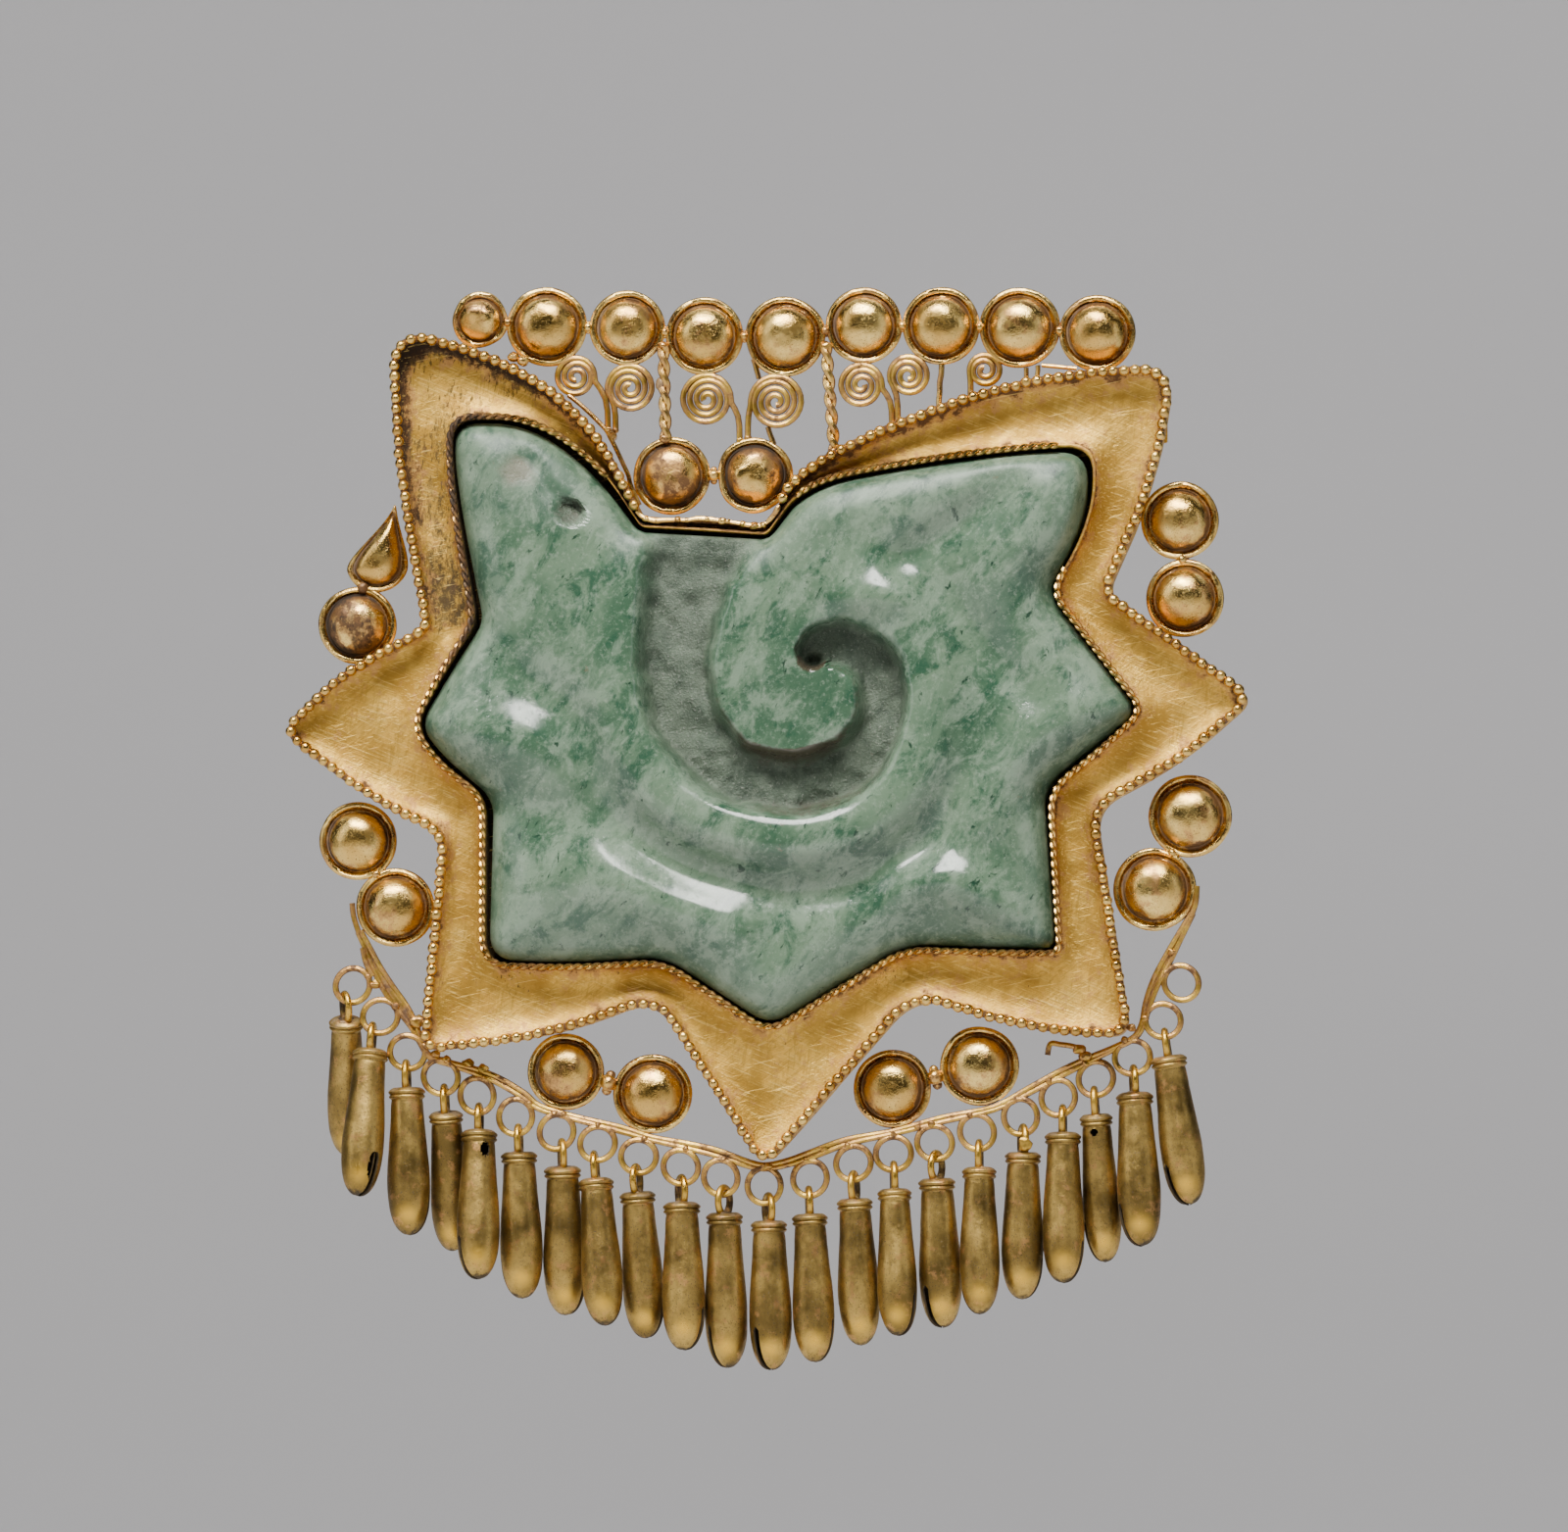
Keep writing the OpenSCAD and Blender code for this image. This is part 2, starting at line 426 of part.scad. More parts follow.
// Granules of solder, flattened front and back, that bridge the gap between two neighbours
module granule(p, radius) {
    translate(at(p, boss_back + 0.1 * rim_wire)) rotate([90, 0, 0])
        cylinder(r = radius, h = 0.8 * rim_wire, $fn = 24);
}
function bridge(a, b) = let (gap = norm(flat(b) - flat(a)) - a[2] - b[2])
    concat(flat(a) + (flat(b) - flat(a)) * (a[2] + gap / 2) / norm(flat(b) - flat(a)), [gap / 2 + 0.2]);
module soldered(rows) {
    for (row = rows) boss(row);
    for (i = [1 : len(rows) - 1])
        let (joint = bridge(rows[i - 1], rows[i])) granule(joint, joint[2]);
}

module bosses_left_lower() { color(soft_gold) soldered(left_lower_pair); }
module bosses_right_upper() { color(soft_gold) soldered(right_upper_pair); }
module bosses_right_lower() { color(soft_gold) soldered(right_lower_pair); }
module bosses_bottom_left() { color(soft_gold) soldered(bottom_left_pair); }
module bosses_bottom_right() { color(soft_gold) soldered(bottom_right_pair); }
// The upper of these two is folded back from its lower edge, so it is seen from below
module bosses_left_upper() {
    color(soft_gold) {
        boss(left_upper);
        granule(bent_solder, bent_solder[2]);
        translate(at(bent_boss, boss_back + 0.2)) rotate([bent_tilt, 0, 0]) rotate([0, bent_turn, 0])
            boss_shape(bent_boss[2]);
    }
}

// Crest: two rows of bosses, with posts and wire scrolls between them
scroll_eye = 0.22;
scroll_step = 20;
wire_lift = 0.05;
function scroll_line(row) =
    let (reach = row[2] - scroll_wire / 2, turns = (reach - scroll_eye) / scroll_pitch,
         last = floor(turns * 360 / scroll_step))
        [for (k = [0 : last])
            let (angle = (last - k) * scroll_step, r = reach - scroll_pitch * angle / 360)
                [row[0] + row[3] * r * cos(angle), row[1] + r * sin(angle), scroll_wire / 2]];
module scroll(row) {
    stem = [row[4], row[5], scroll_wire / 2];
    start = [row[0] + row[3] * (row[2] - scroll_wire / 2), row[1], scroll_wire / 2];
    color(soft_gold) strip(concat(scroll_line(row), [start + (stem - start) * 0.3, stem]),
                           scroll_wire, boss_back + wire_lift + scroll_wire / 2);
}
module post(row) {
    foot = at([row[2], row[3]], boss_back + wire_lift + row[4] / 2);
    color(soft_gold) translate(foot) rotate([0, atan2(row[0] - row[2], row[1] - row[3]), 0])
        cylinder(d = row[4], h = norm([row[0] - row[2], row[1] - row[3]]), $fn = 32);
}
module crest_bosses() { color(soft_gold) soldered(crest_row); }
module notch_bosses() { color(soft_gold) soldered(notch_pair); }
module edge_strip() {
    color(soft_gold) strip(edge_wire, 0.4, boss_back + 0.25);
}

// Rail and rings
ring_reach = (ring_diameter - ring_wire) / 2;
module bell_rail() {
    color(soft_gold) {
        strip(rail_path, rail_thick, rail_depth);
        translate(at(first_solder, rail_depth - ring_wire / 2)) rotate([90, 0, 0])
            cylinder(r = first_solder[2], h = ring_wire, $fn = 24);
        for (p = rings) translate(at(p, rail_depth)) rotate([90, 0, 0])
            rotate_extrude($fn = 48) translate([ring_reach, 0]) circle(d = ring_wire, $fn = 24);
    }
}

// Bells
bail_reach = (bail_diameter - bail_wire) / 2;
// From the ring's wire down to the bail's middle, and from there to the cap
bail_drop = bail_reach - bail_wire / 2 - ring_wire / 2 - hang_clear;
cap_drop = bail_drop + bail_diameter / 2 - bail_sink;
function bell_points(size, radius) = concat([[0, 0]],
    [for (s = bell_section) [s[0] * radius, -s[1] * size]], [[0, -size]]);
function bell_hollow(size, radius) = concat([[0, -1.2 * bell_wall], [0.6 * radius, -1.2 * bell_wall]],
    [for (s = bell_section) if (s[1] > 0.09 && s[1] < 0.95) [s[0] * radius - bell_wall, -s[1] * size]],
    [[0.3 * radius, -size + 1.3 * bell_wall], [0, -size + 1.1 * bell_wall]]);
module bell(i) {
    row = bells[i];
    ring = rings[i];
    size = row[2] + collar_share;
    tilt = -asin((row[1] - row[0]) / row[2]);
    lean = asin(row[3] / row[2]);
    swing = (row[0] + (cap_drop + collar_share) * sin(tilt) - ring[0]) / ring_reach;
    hold = [ring[0] + swing * ring_reach, ring[1] - ring_reach * sqrt(1 - swing * swing)];
    color(old_gold) translate(at(hold, rail_depth)) rotate([lean, tilt, 0]) {
        translate([0, 0, -bail_drop]) rotate([0, 90, row[5]]) rotate_extrude($fn = 48)
            translate([bail_reach, 0]) circle(d = bail_wire, $fn = 24);
        translate([0, 0, -cap_drop]) difference() {
            rotate_extrude($fn = 48) polygon(bell_points(size, bell_radius));
            rotate_extrude($fn = 48) polygon(bell_hollow(size, bell_radius));
            rotate([0, 0, row[4]]) translate([-slit_width / 2, -2 * bell_radius, -size - 1])
                cube([slit_width, 4 * bell_radius, slit_height + 1]);
        }
    }
}

// Cord tubes, each with a flat foot on the back edges of the tray
module suspension_tube(row) {
    color(soft_gold) difference() {
        union() {
            translate([row[1], back_y, -foot_height / 2]) cube([row[2] - row[1], 0.5, foot_height]);
            translate([row[0] - tube_length / 2, 0, 0]) rotate([0, 90, 0])
                cylinder(r = tube_radius, h = tube_length, $fn = 48);
        }
        translate([row[0] - tube_length, 0, 0]) rotate([0, 90, 0])
            cylinder(r = tube_bore, h = 2 * tube_length, $fn = 48);
    }
}

jade_plaque();
frame_tray();
beaded_wire();
rope_wire();
edge_strip();  // edge_wire
crest_bosses();
notch_bosses();
bosses_left_upper();
bosses_left_lower();
bosses_right_upper();
bosses_right_lower();
bosses_bottom_left();
bosses_bottom_right();
bell_rail();
suspension_tube(left_tube);  // suspension_tube_left
suspension_tube(right_tube);  // suspension_tube_right
for (i = [0 : len(scrolls) - 1]) scroll(scrolls[i]);
for (i = [0 : len(posts) - 1]) post(posts[i]);
for (i = [0 : len(bells) - 1]) bell(i);
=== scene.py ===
import math

import bpy
import numpy as np
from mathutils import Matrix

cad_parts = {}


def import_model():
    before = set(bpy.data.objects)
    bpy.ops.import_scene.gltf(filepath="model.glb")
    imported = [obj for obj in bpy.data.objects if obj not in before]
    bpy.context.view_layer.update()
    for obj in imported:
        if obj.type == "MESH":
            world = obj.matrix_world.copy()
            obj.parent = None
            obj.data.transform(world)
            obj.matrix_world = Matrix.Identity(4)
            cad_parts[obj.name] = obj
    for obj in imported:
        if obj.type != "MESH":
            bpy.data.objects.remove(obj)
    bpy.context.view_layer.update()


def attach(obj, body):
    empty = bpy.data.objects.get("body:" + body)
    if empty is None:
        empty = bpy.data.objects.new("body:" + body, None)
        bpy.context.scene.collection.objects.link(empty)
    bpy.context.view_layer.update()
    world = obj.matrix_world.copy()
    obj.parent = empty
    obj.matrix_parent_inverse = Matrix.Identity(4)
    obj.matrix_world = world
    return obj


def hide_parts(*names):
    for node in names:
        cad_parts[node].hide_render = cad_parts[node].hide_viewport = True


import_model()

# Positions are in millimetres until a mesh is made. X is right, Z is up, and a height is the
# distance in front of the tray's flat back, so that the front faces -Y.
MM = 0.001
BACK_Y = -1.6
# Heights of the tray's wall, bezel and floor, of the bosses' backs and of the rail
WALL = 4.2
BEZEL = 4.3
TROUGH = 3.0
BOSS_BACK = 1.9
RAIL_HEIGHT = 2.2
# The tray's sheet, how deep its floor is dished, its edges' chamfer and the ledge behind the stone
SHEET = 0.4
DISH = 0.75
CHAMFER = 0.08
LEDGE = 1.7
LEDGE_THICK = 0.5
rng = np.random.default_rng(7)

# Corners of the tray along the beads, each with that of the bezel round the jade: x, z and how far
# it is cut. One without a cut is rounded from half way to its neighbours.
TRAY = [
    ((-32.1, 8, 3.8), (-27.2, 0.5, 2.1)), ((-22.6, 5.3), (-20.5, 0.5)), ((-15.5, 0.4), (-14.7, -3.3)),
    ((-10.9, -8.2, 0.7), (-10.9, -8.9, 0.5)), ((-0.1, -8.9, 0.7), (-0.2, -9.6, 0.5)),
    ((2.4, -4.3), (3, -5.2)), ((12, 0.2), (12, -3.6)), ((22.8, 3.5), (21.2, -2.4)),
    ((34.3, 4.3, 3.2), (27.7, -2.2, 2.5)), ((32.7, -5), (27.6, -8.3)),
    ((28.4, -14.8, 1.5), (24.1, -14.8, 1.5)), ((40.9, -23.8, 1.8), (31.8, -24.8, 1.5)),
    ((34.9, -29), (28.2, -28.2)), ((27.4, -33, 2.3), (23.9, -31.5, 2.1)),
    ((30.5, -52.3, 2.2), (24.7, -45.4, 1)), ((22, -51.6), (18.7, -45.3)),
    ((12.2, -48.7, 2.9), (11.6, -45, 2.1)), ((-0.4, -63.1, 1.7), (0, -52, 1.8)),
    ((-9.5, -48.8, 3), (-9, -46, 2.1)), ((-18.8, -52.1), (-17.2, -46.5)),
    ((-29.4, -53.3, 1.7), (-24.4, -46.2, 2.3)), ((-27.6, -34.8, 2.5), (-24.4, -31.9, 1.7)),
    ((-33.8, -32), (-28.2, -29.1)), ((-41.4, -26.2, 1.7), (-30.4, -25.8, 1.7)),
    ((-36.2, -21.2), (-27.8, -21)), ((-29.1, -17.6, 1.2), (-25.2, -17, 1.2)),
    ((-31.7, -3.3), (-27.3, -5))]
WALL_CORNERS, BEZEL_CORNERS = zip(*TRAY)
# Index of the first corner past the notch
PAST_NOTCH = 5
BEAD_RADIUS = 0.5
BEAD_SPACING = 0.93
# Right of this x and above this z the bezel's rope is lost
ROPE_LOST = (24.6, -12.5)
# Corners of the jade's worn edge, in the same way
JADE = [
    (-26.9, 0, 2.1), (-20.7, -0.1), (-15.2, -4.1), (-11.2, -9.4, 0.8), (0, -10.1, 0.8), (3.3, -5.7),
    (12, -4.1), (21.2, -2.9), (27.1, -2.8, 2.5), (26.9, -8.5), (23.6, -14.8, 1.5), (31.3, -24.8, 1.5),
    (27.6, -27.8), (23.2, -31.2, 2.1), (24.2, -44.9, 1), (18.6, -44.8), (11.6, -44.5, 2.1),
    (0, -51.4, 1.8), (-9, -45.5, 2.1), (-17.2, -46), (-23.9, -45.7, 2.3), (-23.5, -32, 1.7),
    (-27.4, -28.9), (-29.9, -25.8, 1.7), (-27.2, -21.3), (-24.4, -17, 1), (-26.8, -5)]
JADE_CENTRE = np.array([0.0, -27.5])
JADE_BACK = 0.6
JADE_EDGE = 3.2
JADE_RISE = 2.6
GROOVE_FLOOR = 3.4
# The drilled pit at the groove's end, the crescent-shaped hole and the old pit in the left lobe
DRILLED_PIT = (3.75, -20.5)
CRESCENT = (-16.85, -7.8)
OLD_PIT = (-21.4, -4.2)
# The carved groove (x, z, half width) from the notch round to the drilled pit
GROOVE = [
    (-3.4, -5.8, 5.2), (-6.1, -10.8, 4.5), (-7.2, -14.9, 3.7), (-7.8, -19.2, 3.3), (-7.7, -22.5, 3.2),
    (-6.9, -25.6, 3.1), (-5.3, -27.8, 2.9), (-3.3, -29.8, 2.7), (-0.1, -30.8, 2.6), (3, -30.9, 2.6),
    (6.8, -29.6, 2.5), (9.1, -26.8, 2.2), (9.8, -23.5, 2.2), (8.8, -20.6, 2.2), (6.8, -19.3, 2.1),
    (4.8, -19.1, 1.9), (3.8, -19.8, 1.4)]
# The raised band outside the groove (x, z, height)
BAND = [
    (-13.5, -14.2, 0.4), (-13.7, -20.8, 0.8), (-12.7, -25.4, 1), (-11, -28.5, 1.2), (-9.1, -31.4, 1.4),
    (-5.8, -33.8, 1.5), (-1.6, -35.3, 1.6), (2.2, -35.8, 1.6), (6.2, -35.2, 1.6), (9.5, -33.5, 1.5),
    (12, -30.7, 1.3), (13.3, -26.5, 1), (13.7, -21.7, 0.8), (12, -17.5, 0.6), (8.7, -14.6, 0.5),
    (5.3, -13.3, 0.3)]
# Soft ridges and hollows of the arms (x, z, height, width)
RELIEF = [
    [(-18.8, -39.2, 0.6, 3), (-12.2, -39.6, 0.9, 2.6), (-3.8, -42.9, 0.7, 2.6)],
    [(6.2, -15.6, 0.45, 1.1), (8.6, -15.1, 0.75, 1.3), (11.6, -15.4, 0.55, 1.3)],
    [(-9.2, -8.4, -0.5, 0.7), (-10, -9.6, -0.5, 0.7)],
    [(11.3, -39.4, 1, 2), (15, -39.2, 1.3, 2), (17.6, -40.4, 1.3, 2), (20.3, -42.6, 0.7, 2.4)],
    [(-27.5, -26.5, 0.6, 2.8), (-20.5, -27.7, 0.9, 2.6), (-17.6, -30, 0.5, 2.8)],
    [(28.7, -25.4, 0.6, 2.8), (22.8, -27.9, 0.8, 2.8), (17.8, -33.3, 0.5, 2.8)],
    [(5.3, -7.5, 0.3, 2.8), (13.7, -5.8, 0.4, 2.6), (21.2, -3.8, 0.4, 2.6)],
    [(24.5, -7.5, 0.5, 2.6), (20.3, -12.5, 0.6, 2.6), (18, -15, 0.3, 2.6)],
    [(11.2, -12, -0.7, 1.1), (15.7, -9.6, -0.9, 1.2), (20.3, -5.8, -0.6, 1.4)],
    [(14.5, -13.4, -0.5, 1.5), (17.4, -17.5, -0.8, 1.5), (20.3, -21.7, -0.8, 1.5),
     (22.4, -23.8, -0.4, 1.5)],
    [(-15.9, -26.7, -0.4, 1.7), (-13.8, -33.3, -0.9, 1.7), (-8, -37.9, -1, 1.7),
     (-2.2, -39.6, -0.9, 1.7), (3.7, -40.2, -0.9, 1.7), (8.7, -39.2, -1, 1.7), (13.7, -35.8, -0.9, 1.7),
     (17, -30.8, -0.6, 1.7), (19.4, -26.7, -0.4, 1.7)],
    [(-15.5, -25.8, -0.4, 2), (-20, -22.5, -0.7, 2), (-23.8, -19.2, -0.4, 2)],
    [(-23, -33, -0.5, 2), (-18.5, -33.6, -0.4, 2)],
    [(1.2, -40.8, -0.3, 2.4), (0.8, -44.2, -0.4, 2.4)]]
# A fine hollow from the old pit to the crescent-shaped hole (x, z, depth)
LOBE_HOLLOW = [
    (-20.7, -2.9, 0.4), (-19.6, -4.2, 0.5), (-18.7, -5.9, 0.45), (-17.4, -6.8, 0.35)]

# Groups of bosses: name, node, seed, and each boss's x, z, radius, how dark its patina is and how
# crumpled it is
BOSS_GROUPS = [
    ("crest_row", "crest_bosses", 1, [
        (-24.9, 8.9, 2.3, 0.6, 0.5), (-19.2, 8.3, 3.3, 0.3, 0.2), (-12.3, 8.1, 3.1, 0.3, 0.1),
        (-5.7, 7.4, 3.2, 0.2, 0.1), (1.2, 7.3, 3.3, 0.2, 0.2), (7.9, 8.2, 3.15, 0.2, 0.1),
        (14.5, 8.1, 3.2, 0.2, 0.1), (21.2, 7.9, 3.3, 0.2, 0.1), (27.8, 7.4, 3.15, 0.2, 0.1)]),
    ("notch_pair", "notch_bosses", 21, [
        (-8.5, -4.5, 3.2, 0.8, 0.15), (-1.4, -4.5, 3.1, 0.9, 0.5)]),
    ("left_lower_pair", "bosses_left_lower", 51, [
        (-35.3, -35.5, 3.2, 0.3, 0.15), (-32.1, -41.2, 3.25, 0.3, 0.1)]),
    ("right_upper_pair", "bosses_right_upper", 61, [
        (34.8, -8.6, 3.2, 0.2, 0.1), (35.2, -15.2, 3.2, 0.2, 0.1)]),
    ("right_lower_pair", "bosses_right_lower", 71, [
        (35.6, -33.7, 3.4, 0.3, 0.15), (32.6, -39.9, 3.4, 0.3, 0.15)]),
    ("bottom_left_pair", "bosses_bottom_left", 81, [
        (-17.5, -55.2, 3.15, 0.3, 0.1), (-10.1, -57.1, 3.25, 0.3, 0.1)]),
    ("bottom_right_pair", "bosses_bottom_right", 91, [
        (10.3, -56.7, 3.2, 0.3, 0.1), (17.7, -54.8, 3.25, 0.3, 0.1)])]
LEFT_UPPER = (-35.4, -17.1, 3.2, 1.0, 0.3)
BENT_BOSS = (-33.7, -11.6, 2.65, 0.4, 0.15)

# Wire scrolls: x, z, outer radius, side of the stem, x and z of the stem's foot
SCROLLS = [
    (-16.7, 4, 1.8, 1, -13.95, -0.55), (-12.1, 3, 2.1, -1, -13.3, -0.6), (-5.5, 2, 2.25, 1, -2.7, -1.5),
    (0.4, 1.75, 2.35, -1, -2, -1.3), (7.7, 3.1, 1.95, 1, 10.3, -0.2), (11.7, 3.9, 1.8, -1, 10.8, 0),
    (18.2, 4.3, 1.5, -1, 17, 2.35)]
# Posts: x, z at the top, x, z below, diameter
POSTS = [
    (-9.2, 6.1, -9, -1.2, 0.9), (4.7, 6, 5.4, -2.4, 0.9), (14.5, 4.8, 14.3, 1.2, 0.5),
    (21.7, 4.5, 21.7, 3.3, 0.42), (22.7, 4.7, 22.7, 3.5, 0.42), (26, 4.4, 23.1, 4.7, 0.36),
    (-1.5, 5.4, -1.1, 3.7, 0.46), (-0.3, -0.4, 0.3, -1.9, 0.46)]
# Plain wire beside the beads down to the notch: x, z
EDGE_WIRE = [
    (-17.2, 2.3), (-16.4, 1.7), (-15.4, 0.8), (-14.5, -0.1), (-13.85, -0.8), (-13.65, -1.25),
    (-13.2, -2.1), (-12.5, -3.6), (-12.05, -4.6), (-11.85, -5.4), (-11.1, -7.1)]
# Wavy wire along the thin wall of the notch (x, z), and the lumps on it (x, size)
NOTCH_WIRE = [
    (-11.25, -7.6), (-10.5, -8.25), (-8.6, -8.5), (-5.6, -8.35), (-3.6, -8.6), (-1.6, -8.9),
    (-0.2, -8.75), (0.9, -7.2)]
NOTCH_LUMPS = [
    (-10.5, 0.3), (-9.6, 0.24), (-7.7, 0.3), (-7.1, 0.22), (-5.3, 0.27), (-4.1, 0.32), (-3.4, 0.24),
    (-2.3, 0.3), (-1.2, 0.36), (-0.6, 0.28)]

# Rail: x, z, half width
RAIL = [
    (-35.2, -43.2, 0.3), (-34.4, -44.8, 0.38), (-33.6, -46.5, 0.5), (-32.6, -48.2, 0.6),
    (-31.45, -49.8, 0.58), (-30.5, -51.3, 0.42), (-29.9, -52.7, 0.25), (-29.1, -53.9, 0.25),
    (-27.3, -54.5, 0.27), (-25.3, -55.1, 0.36), (-23.3, -55.9, 0.4), (-21.1, -57.2, 0.38),
    (-19.8, -58.2, 0.32), (-16.8, -59.1, 0.3), (-12.8, -60.1, 0.36), (-10.1, -60.9, 0.3),
    (-7.2, -61.5, 0.38), (-4.7, -62.1, 0.42), (-1.8, -63.1, 0.36), (-0.3, -63.3, 0.34),
    (1.6, -62.9, 0.36), (3.4, -62.3, 0.42), (6.4, -61.2, 0.38), (10.4, -60.4, 0.3), (14.7, -59.3, 0.36),
    (18.9, -58.4, 0.3), (22.1, -56.8, 0.38), (24.9, -55.3, 0.4), (27.2, -54.2, 0.33),
    (29.2, -53.3, 0.25), (30.9, -52.4, 0.25), (31.6, -51.2, 0.28), (32, -49.6, 0.38),
    (32.7, -47.7, 0.45), (33.7, -45.8, 0.45), (34.7, -43.9, 0.36), (35.8, -41.9, 0.25)]
# Lumps of solder on the rail: x, z, size
RAIL_LUMPS = [
    (-33.85, -47.7, 0.42), (-30.2, -50.9, 0.55), (-25.8, -54.5, 0.5), (-24.6, -54.9, 0.42),
    (26.2, -53.4, 0.5), (26.7, -54, 0.5), (-28.6, -53.7, 0.4), (30.6, -51.6, 0.4), (-0.3, -63.3, 0.42),
    (12.5, -60, 0.3), (-18.5, -58.7, 0.32), (4.6, -61.9, 0.3), (34, -45.2, 0.36)]
# Little loose wires beside the rail, each x, z from end to end
LOOSE_WIRES = [
    [(23.5, -53.9), (23.75, -52.95), (24.6, -53), (25.6, -53.15), (26.3, -53.4)],
    [(-34.9, -44.6), (-34.6, -45.9), (-34, -47)],
    [(-35.8, -40.8), (-35.65, -42), (-35.2, -43.4)],
    [(35.7, -42.2), (36.1, -41), (36.2, -39.6)]]
RAIL_WIRE = 0.24
# How far the rail's flat middle stays inside its edges
RAIL_INSET = 0.12
# Left of this x the rail is crusted with ash
ASHEN_LEFT = -28.0
# Middles of the rings under the rail: x, z
RINGS = [
    (-35.75, -47.8), (-33.38, -50.45), (-31.05, -53.5), (-28.2, -55.6), (-25.1, -57.2), (-21.8, -59),
    (-18.3, -60.3), (-14.8, -61.3), (-11.3, -62.4), (-7.7, -63.3), (-4.3, -64.2), (-0.6, -64.9),
    (3.3, -64.3), (7, -63), (10.4, -62.2), (13.9, -61.3), (17.5, -60.4), (21.2, -59.1), (24.4, -57.5),
    (27.6, -55.9), (30.7, -54.1), (33.3, -51), (34.85, -47.8)]
RING_REACH = 1.46
RING_WIRE = 0.27
# Bells: x of the collar, x of the foot, length, lean back of the foot, angle of the slit, turn
# of the bail
BELLS = [
    (-36.4, -36.7, 11.8, 4.2, 80, 20), (-34.2, -35, 12.1, -1.8, 55, 0), (-31.1, -30.8, 12, -0.2, 85, 0),
    (-27.8, -27.3, 11.4, 1.9, 60, 0), (-24.9, -24.8, 12.2, -1.7, 120, 0),
    (-21.5, -21.2, 11.9, 0.1, 100, 0), (-17.8, -17.6, 12.1, 1.15, 72, 12),
    (-14.9, -14, 12, -1.05, 88, 0), (-11.4, -10.7, 11.9, 0.8, 75, -10), (-7.6, -7.3, 12, -0.65, 72, 20),
    (-4, -3.8, 12.6, 0.7, 128, -20), (-0.2, 0, 12.1, 0.1, 138, 20), (3.3, 3.8, 12, -0.2, 75, 8),
    (7.1, 7.6, 11.9, 0.7, 95, -8), (10.5, 10.9, 11.9, -0.6, 68, 8), (14.1, 14.5, 12.1, 0.6, 134, -20),
    (17.7, 17.8, 11.9, -0.7, 100, 0), (21.4, 21.3, 11.9, 0.3, 78, 15), (24.8, 24.9, 12.2, -0.7, 75, 0),
    (27.6, 28.3, 12, 0.9, 112, 0), (30.9, 31.5, 12.5, -0.7, 112, 10), (33.8, 35.5, 12.2, 0.2, 122, 0)]
COLLAR_SHARE = 0.4
BELL_RADIUS = 1.7
BELL_WALL = 0.22
BAIL_REACH = 1.15
BAIL_WIRE = 0.3
BAIL_DROP = 0.56
CAP_DROP = 1.73
SLIT = 0.3
SLIT_HEIGHT = 3.7
SLIT_TAPER = 0.35
# Section of a bell: share of its radius, share of its length below the collar's top
BELL_SECTION = [
    (0.3, -0.014), (0.62, -0.014), (0.78, 0), (0.855, 0.01), (0.87, 0.018), (0.84, 0.028),
    (0.785, 0.034), (0.82, 0.04), (0.855, 0.048), (0.82, 0.058), (0.735, 0.068), (0.755, 0.09),
    (0.77, 0.115), (0.785, 0.15), (0.8, 0.2), (0.83, 0.26), (0.865, 0.33), (0.905, 0.4), (0.95, 0.48),
    (0.985, 0.56), (1, 0.63), (0.995, 0.7), (0.97, 0.76), (0.93, 0.81), (0.865, 0.855), (0.78, 0.895),
    (0.69, 0.925), (0.56, 0.955), (0.41, 0.978), (0.25, 0.993), (0.09, 0.999)]
# How much wider each bell is than the CAD's, from the left
GIRTH = [
    1, 1.05, 1.07, 1, 1.07, 1.07, 1.08, 1.03, 1.04, 1.08, 1.07, 1.06, 1.04, 1.04, 0.99, 1.07, 1, 1.05,
    1.05, 0.95, 1.08, 1.06]
# First row of the section below the collar
BODY_ROW = 11
# Holes in the bells: number, angle right of the front, share of the length, half width, half height
BELL_HOLES = {2: (44, 0.8, 0.5, 1.25), 5: (30, 0.128, 0.46, 0.72), 20: (-8, 0.105, 0.36, 0.34)}
# Bells whose slit has sprung open: number, half width of the slit
SPRUNG = {12: 0.36, 16: 0.4, 21: 0.42, 22: 0.46}
# The bell with a lump of solder on its bail
LUMPED_BELL = 18


# Curves and noise

def at(x, z, height=0.0):
    """Points of the drawing at a height in front of the tray's back."""
    return np.stack(np.broadcast_arrays(x, BACK_Y - height, z), -1).astype(float)


def rounded(corners, steps):
    """Closed outline round the corners, each rounded by its cut."""
    points = []
    for i, (x, z, *cut) in enumerate(corners):
        v = np.array([x, z], float)
        sides = [np.array(corners[j % len(corners)][:2]) - v for j in (i - 1, i + 1)]
        a, b = (v + s * min([0.5] + [c / np.linalg.norm(s) for c in cut]) for s in sides)
        for t in np.linspace(0, 1, steps + 1):
            points.append((1 - t) ** 2 * a + 2 * t * (1 - t) * v + t * t * b)
    return np.array(points)


def smoothed(rows, steps):
    """Smooth open curve through rows of numbers."""
    rows = np.array(rows, float)
    ends = np.vstack([rows[0], rows, rows[-1]])
    t = np.arange(steps)[:, None] / steps
    out = [0.5 * (2 * p1 + (p2 - p0) * t + (2 * p0 - 5 * p1 + 4 * p2 - p3) * t * t
                  + (3 * p1 - p0 - 3 * p2 + p3) * t ** 3)
           for p0, p1, p2, p3 in zip(ends, ends[1:], ends[2:], ends[3:])]
    return np.vstack(out + [rows[-1]])


def unit(vectors):
    return vectors / np.linalg.norm(vectors, axis=-1, keepdims=True)


def lengths(path):
    return np.concatenate([[0], np.cumsum(np.linalg.norm(np.diff(path, axis=0), axis=1))])


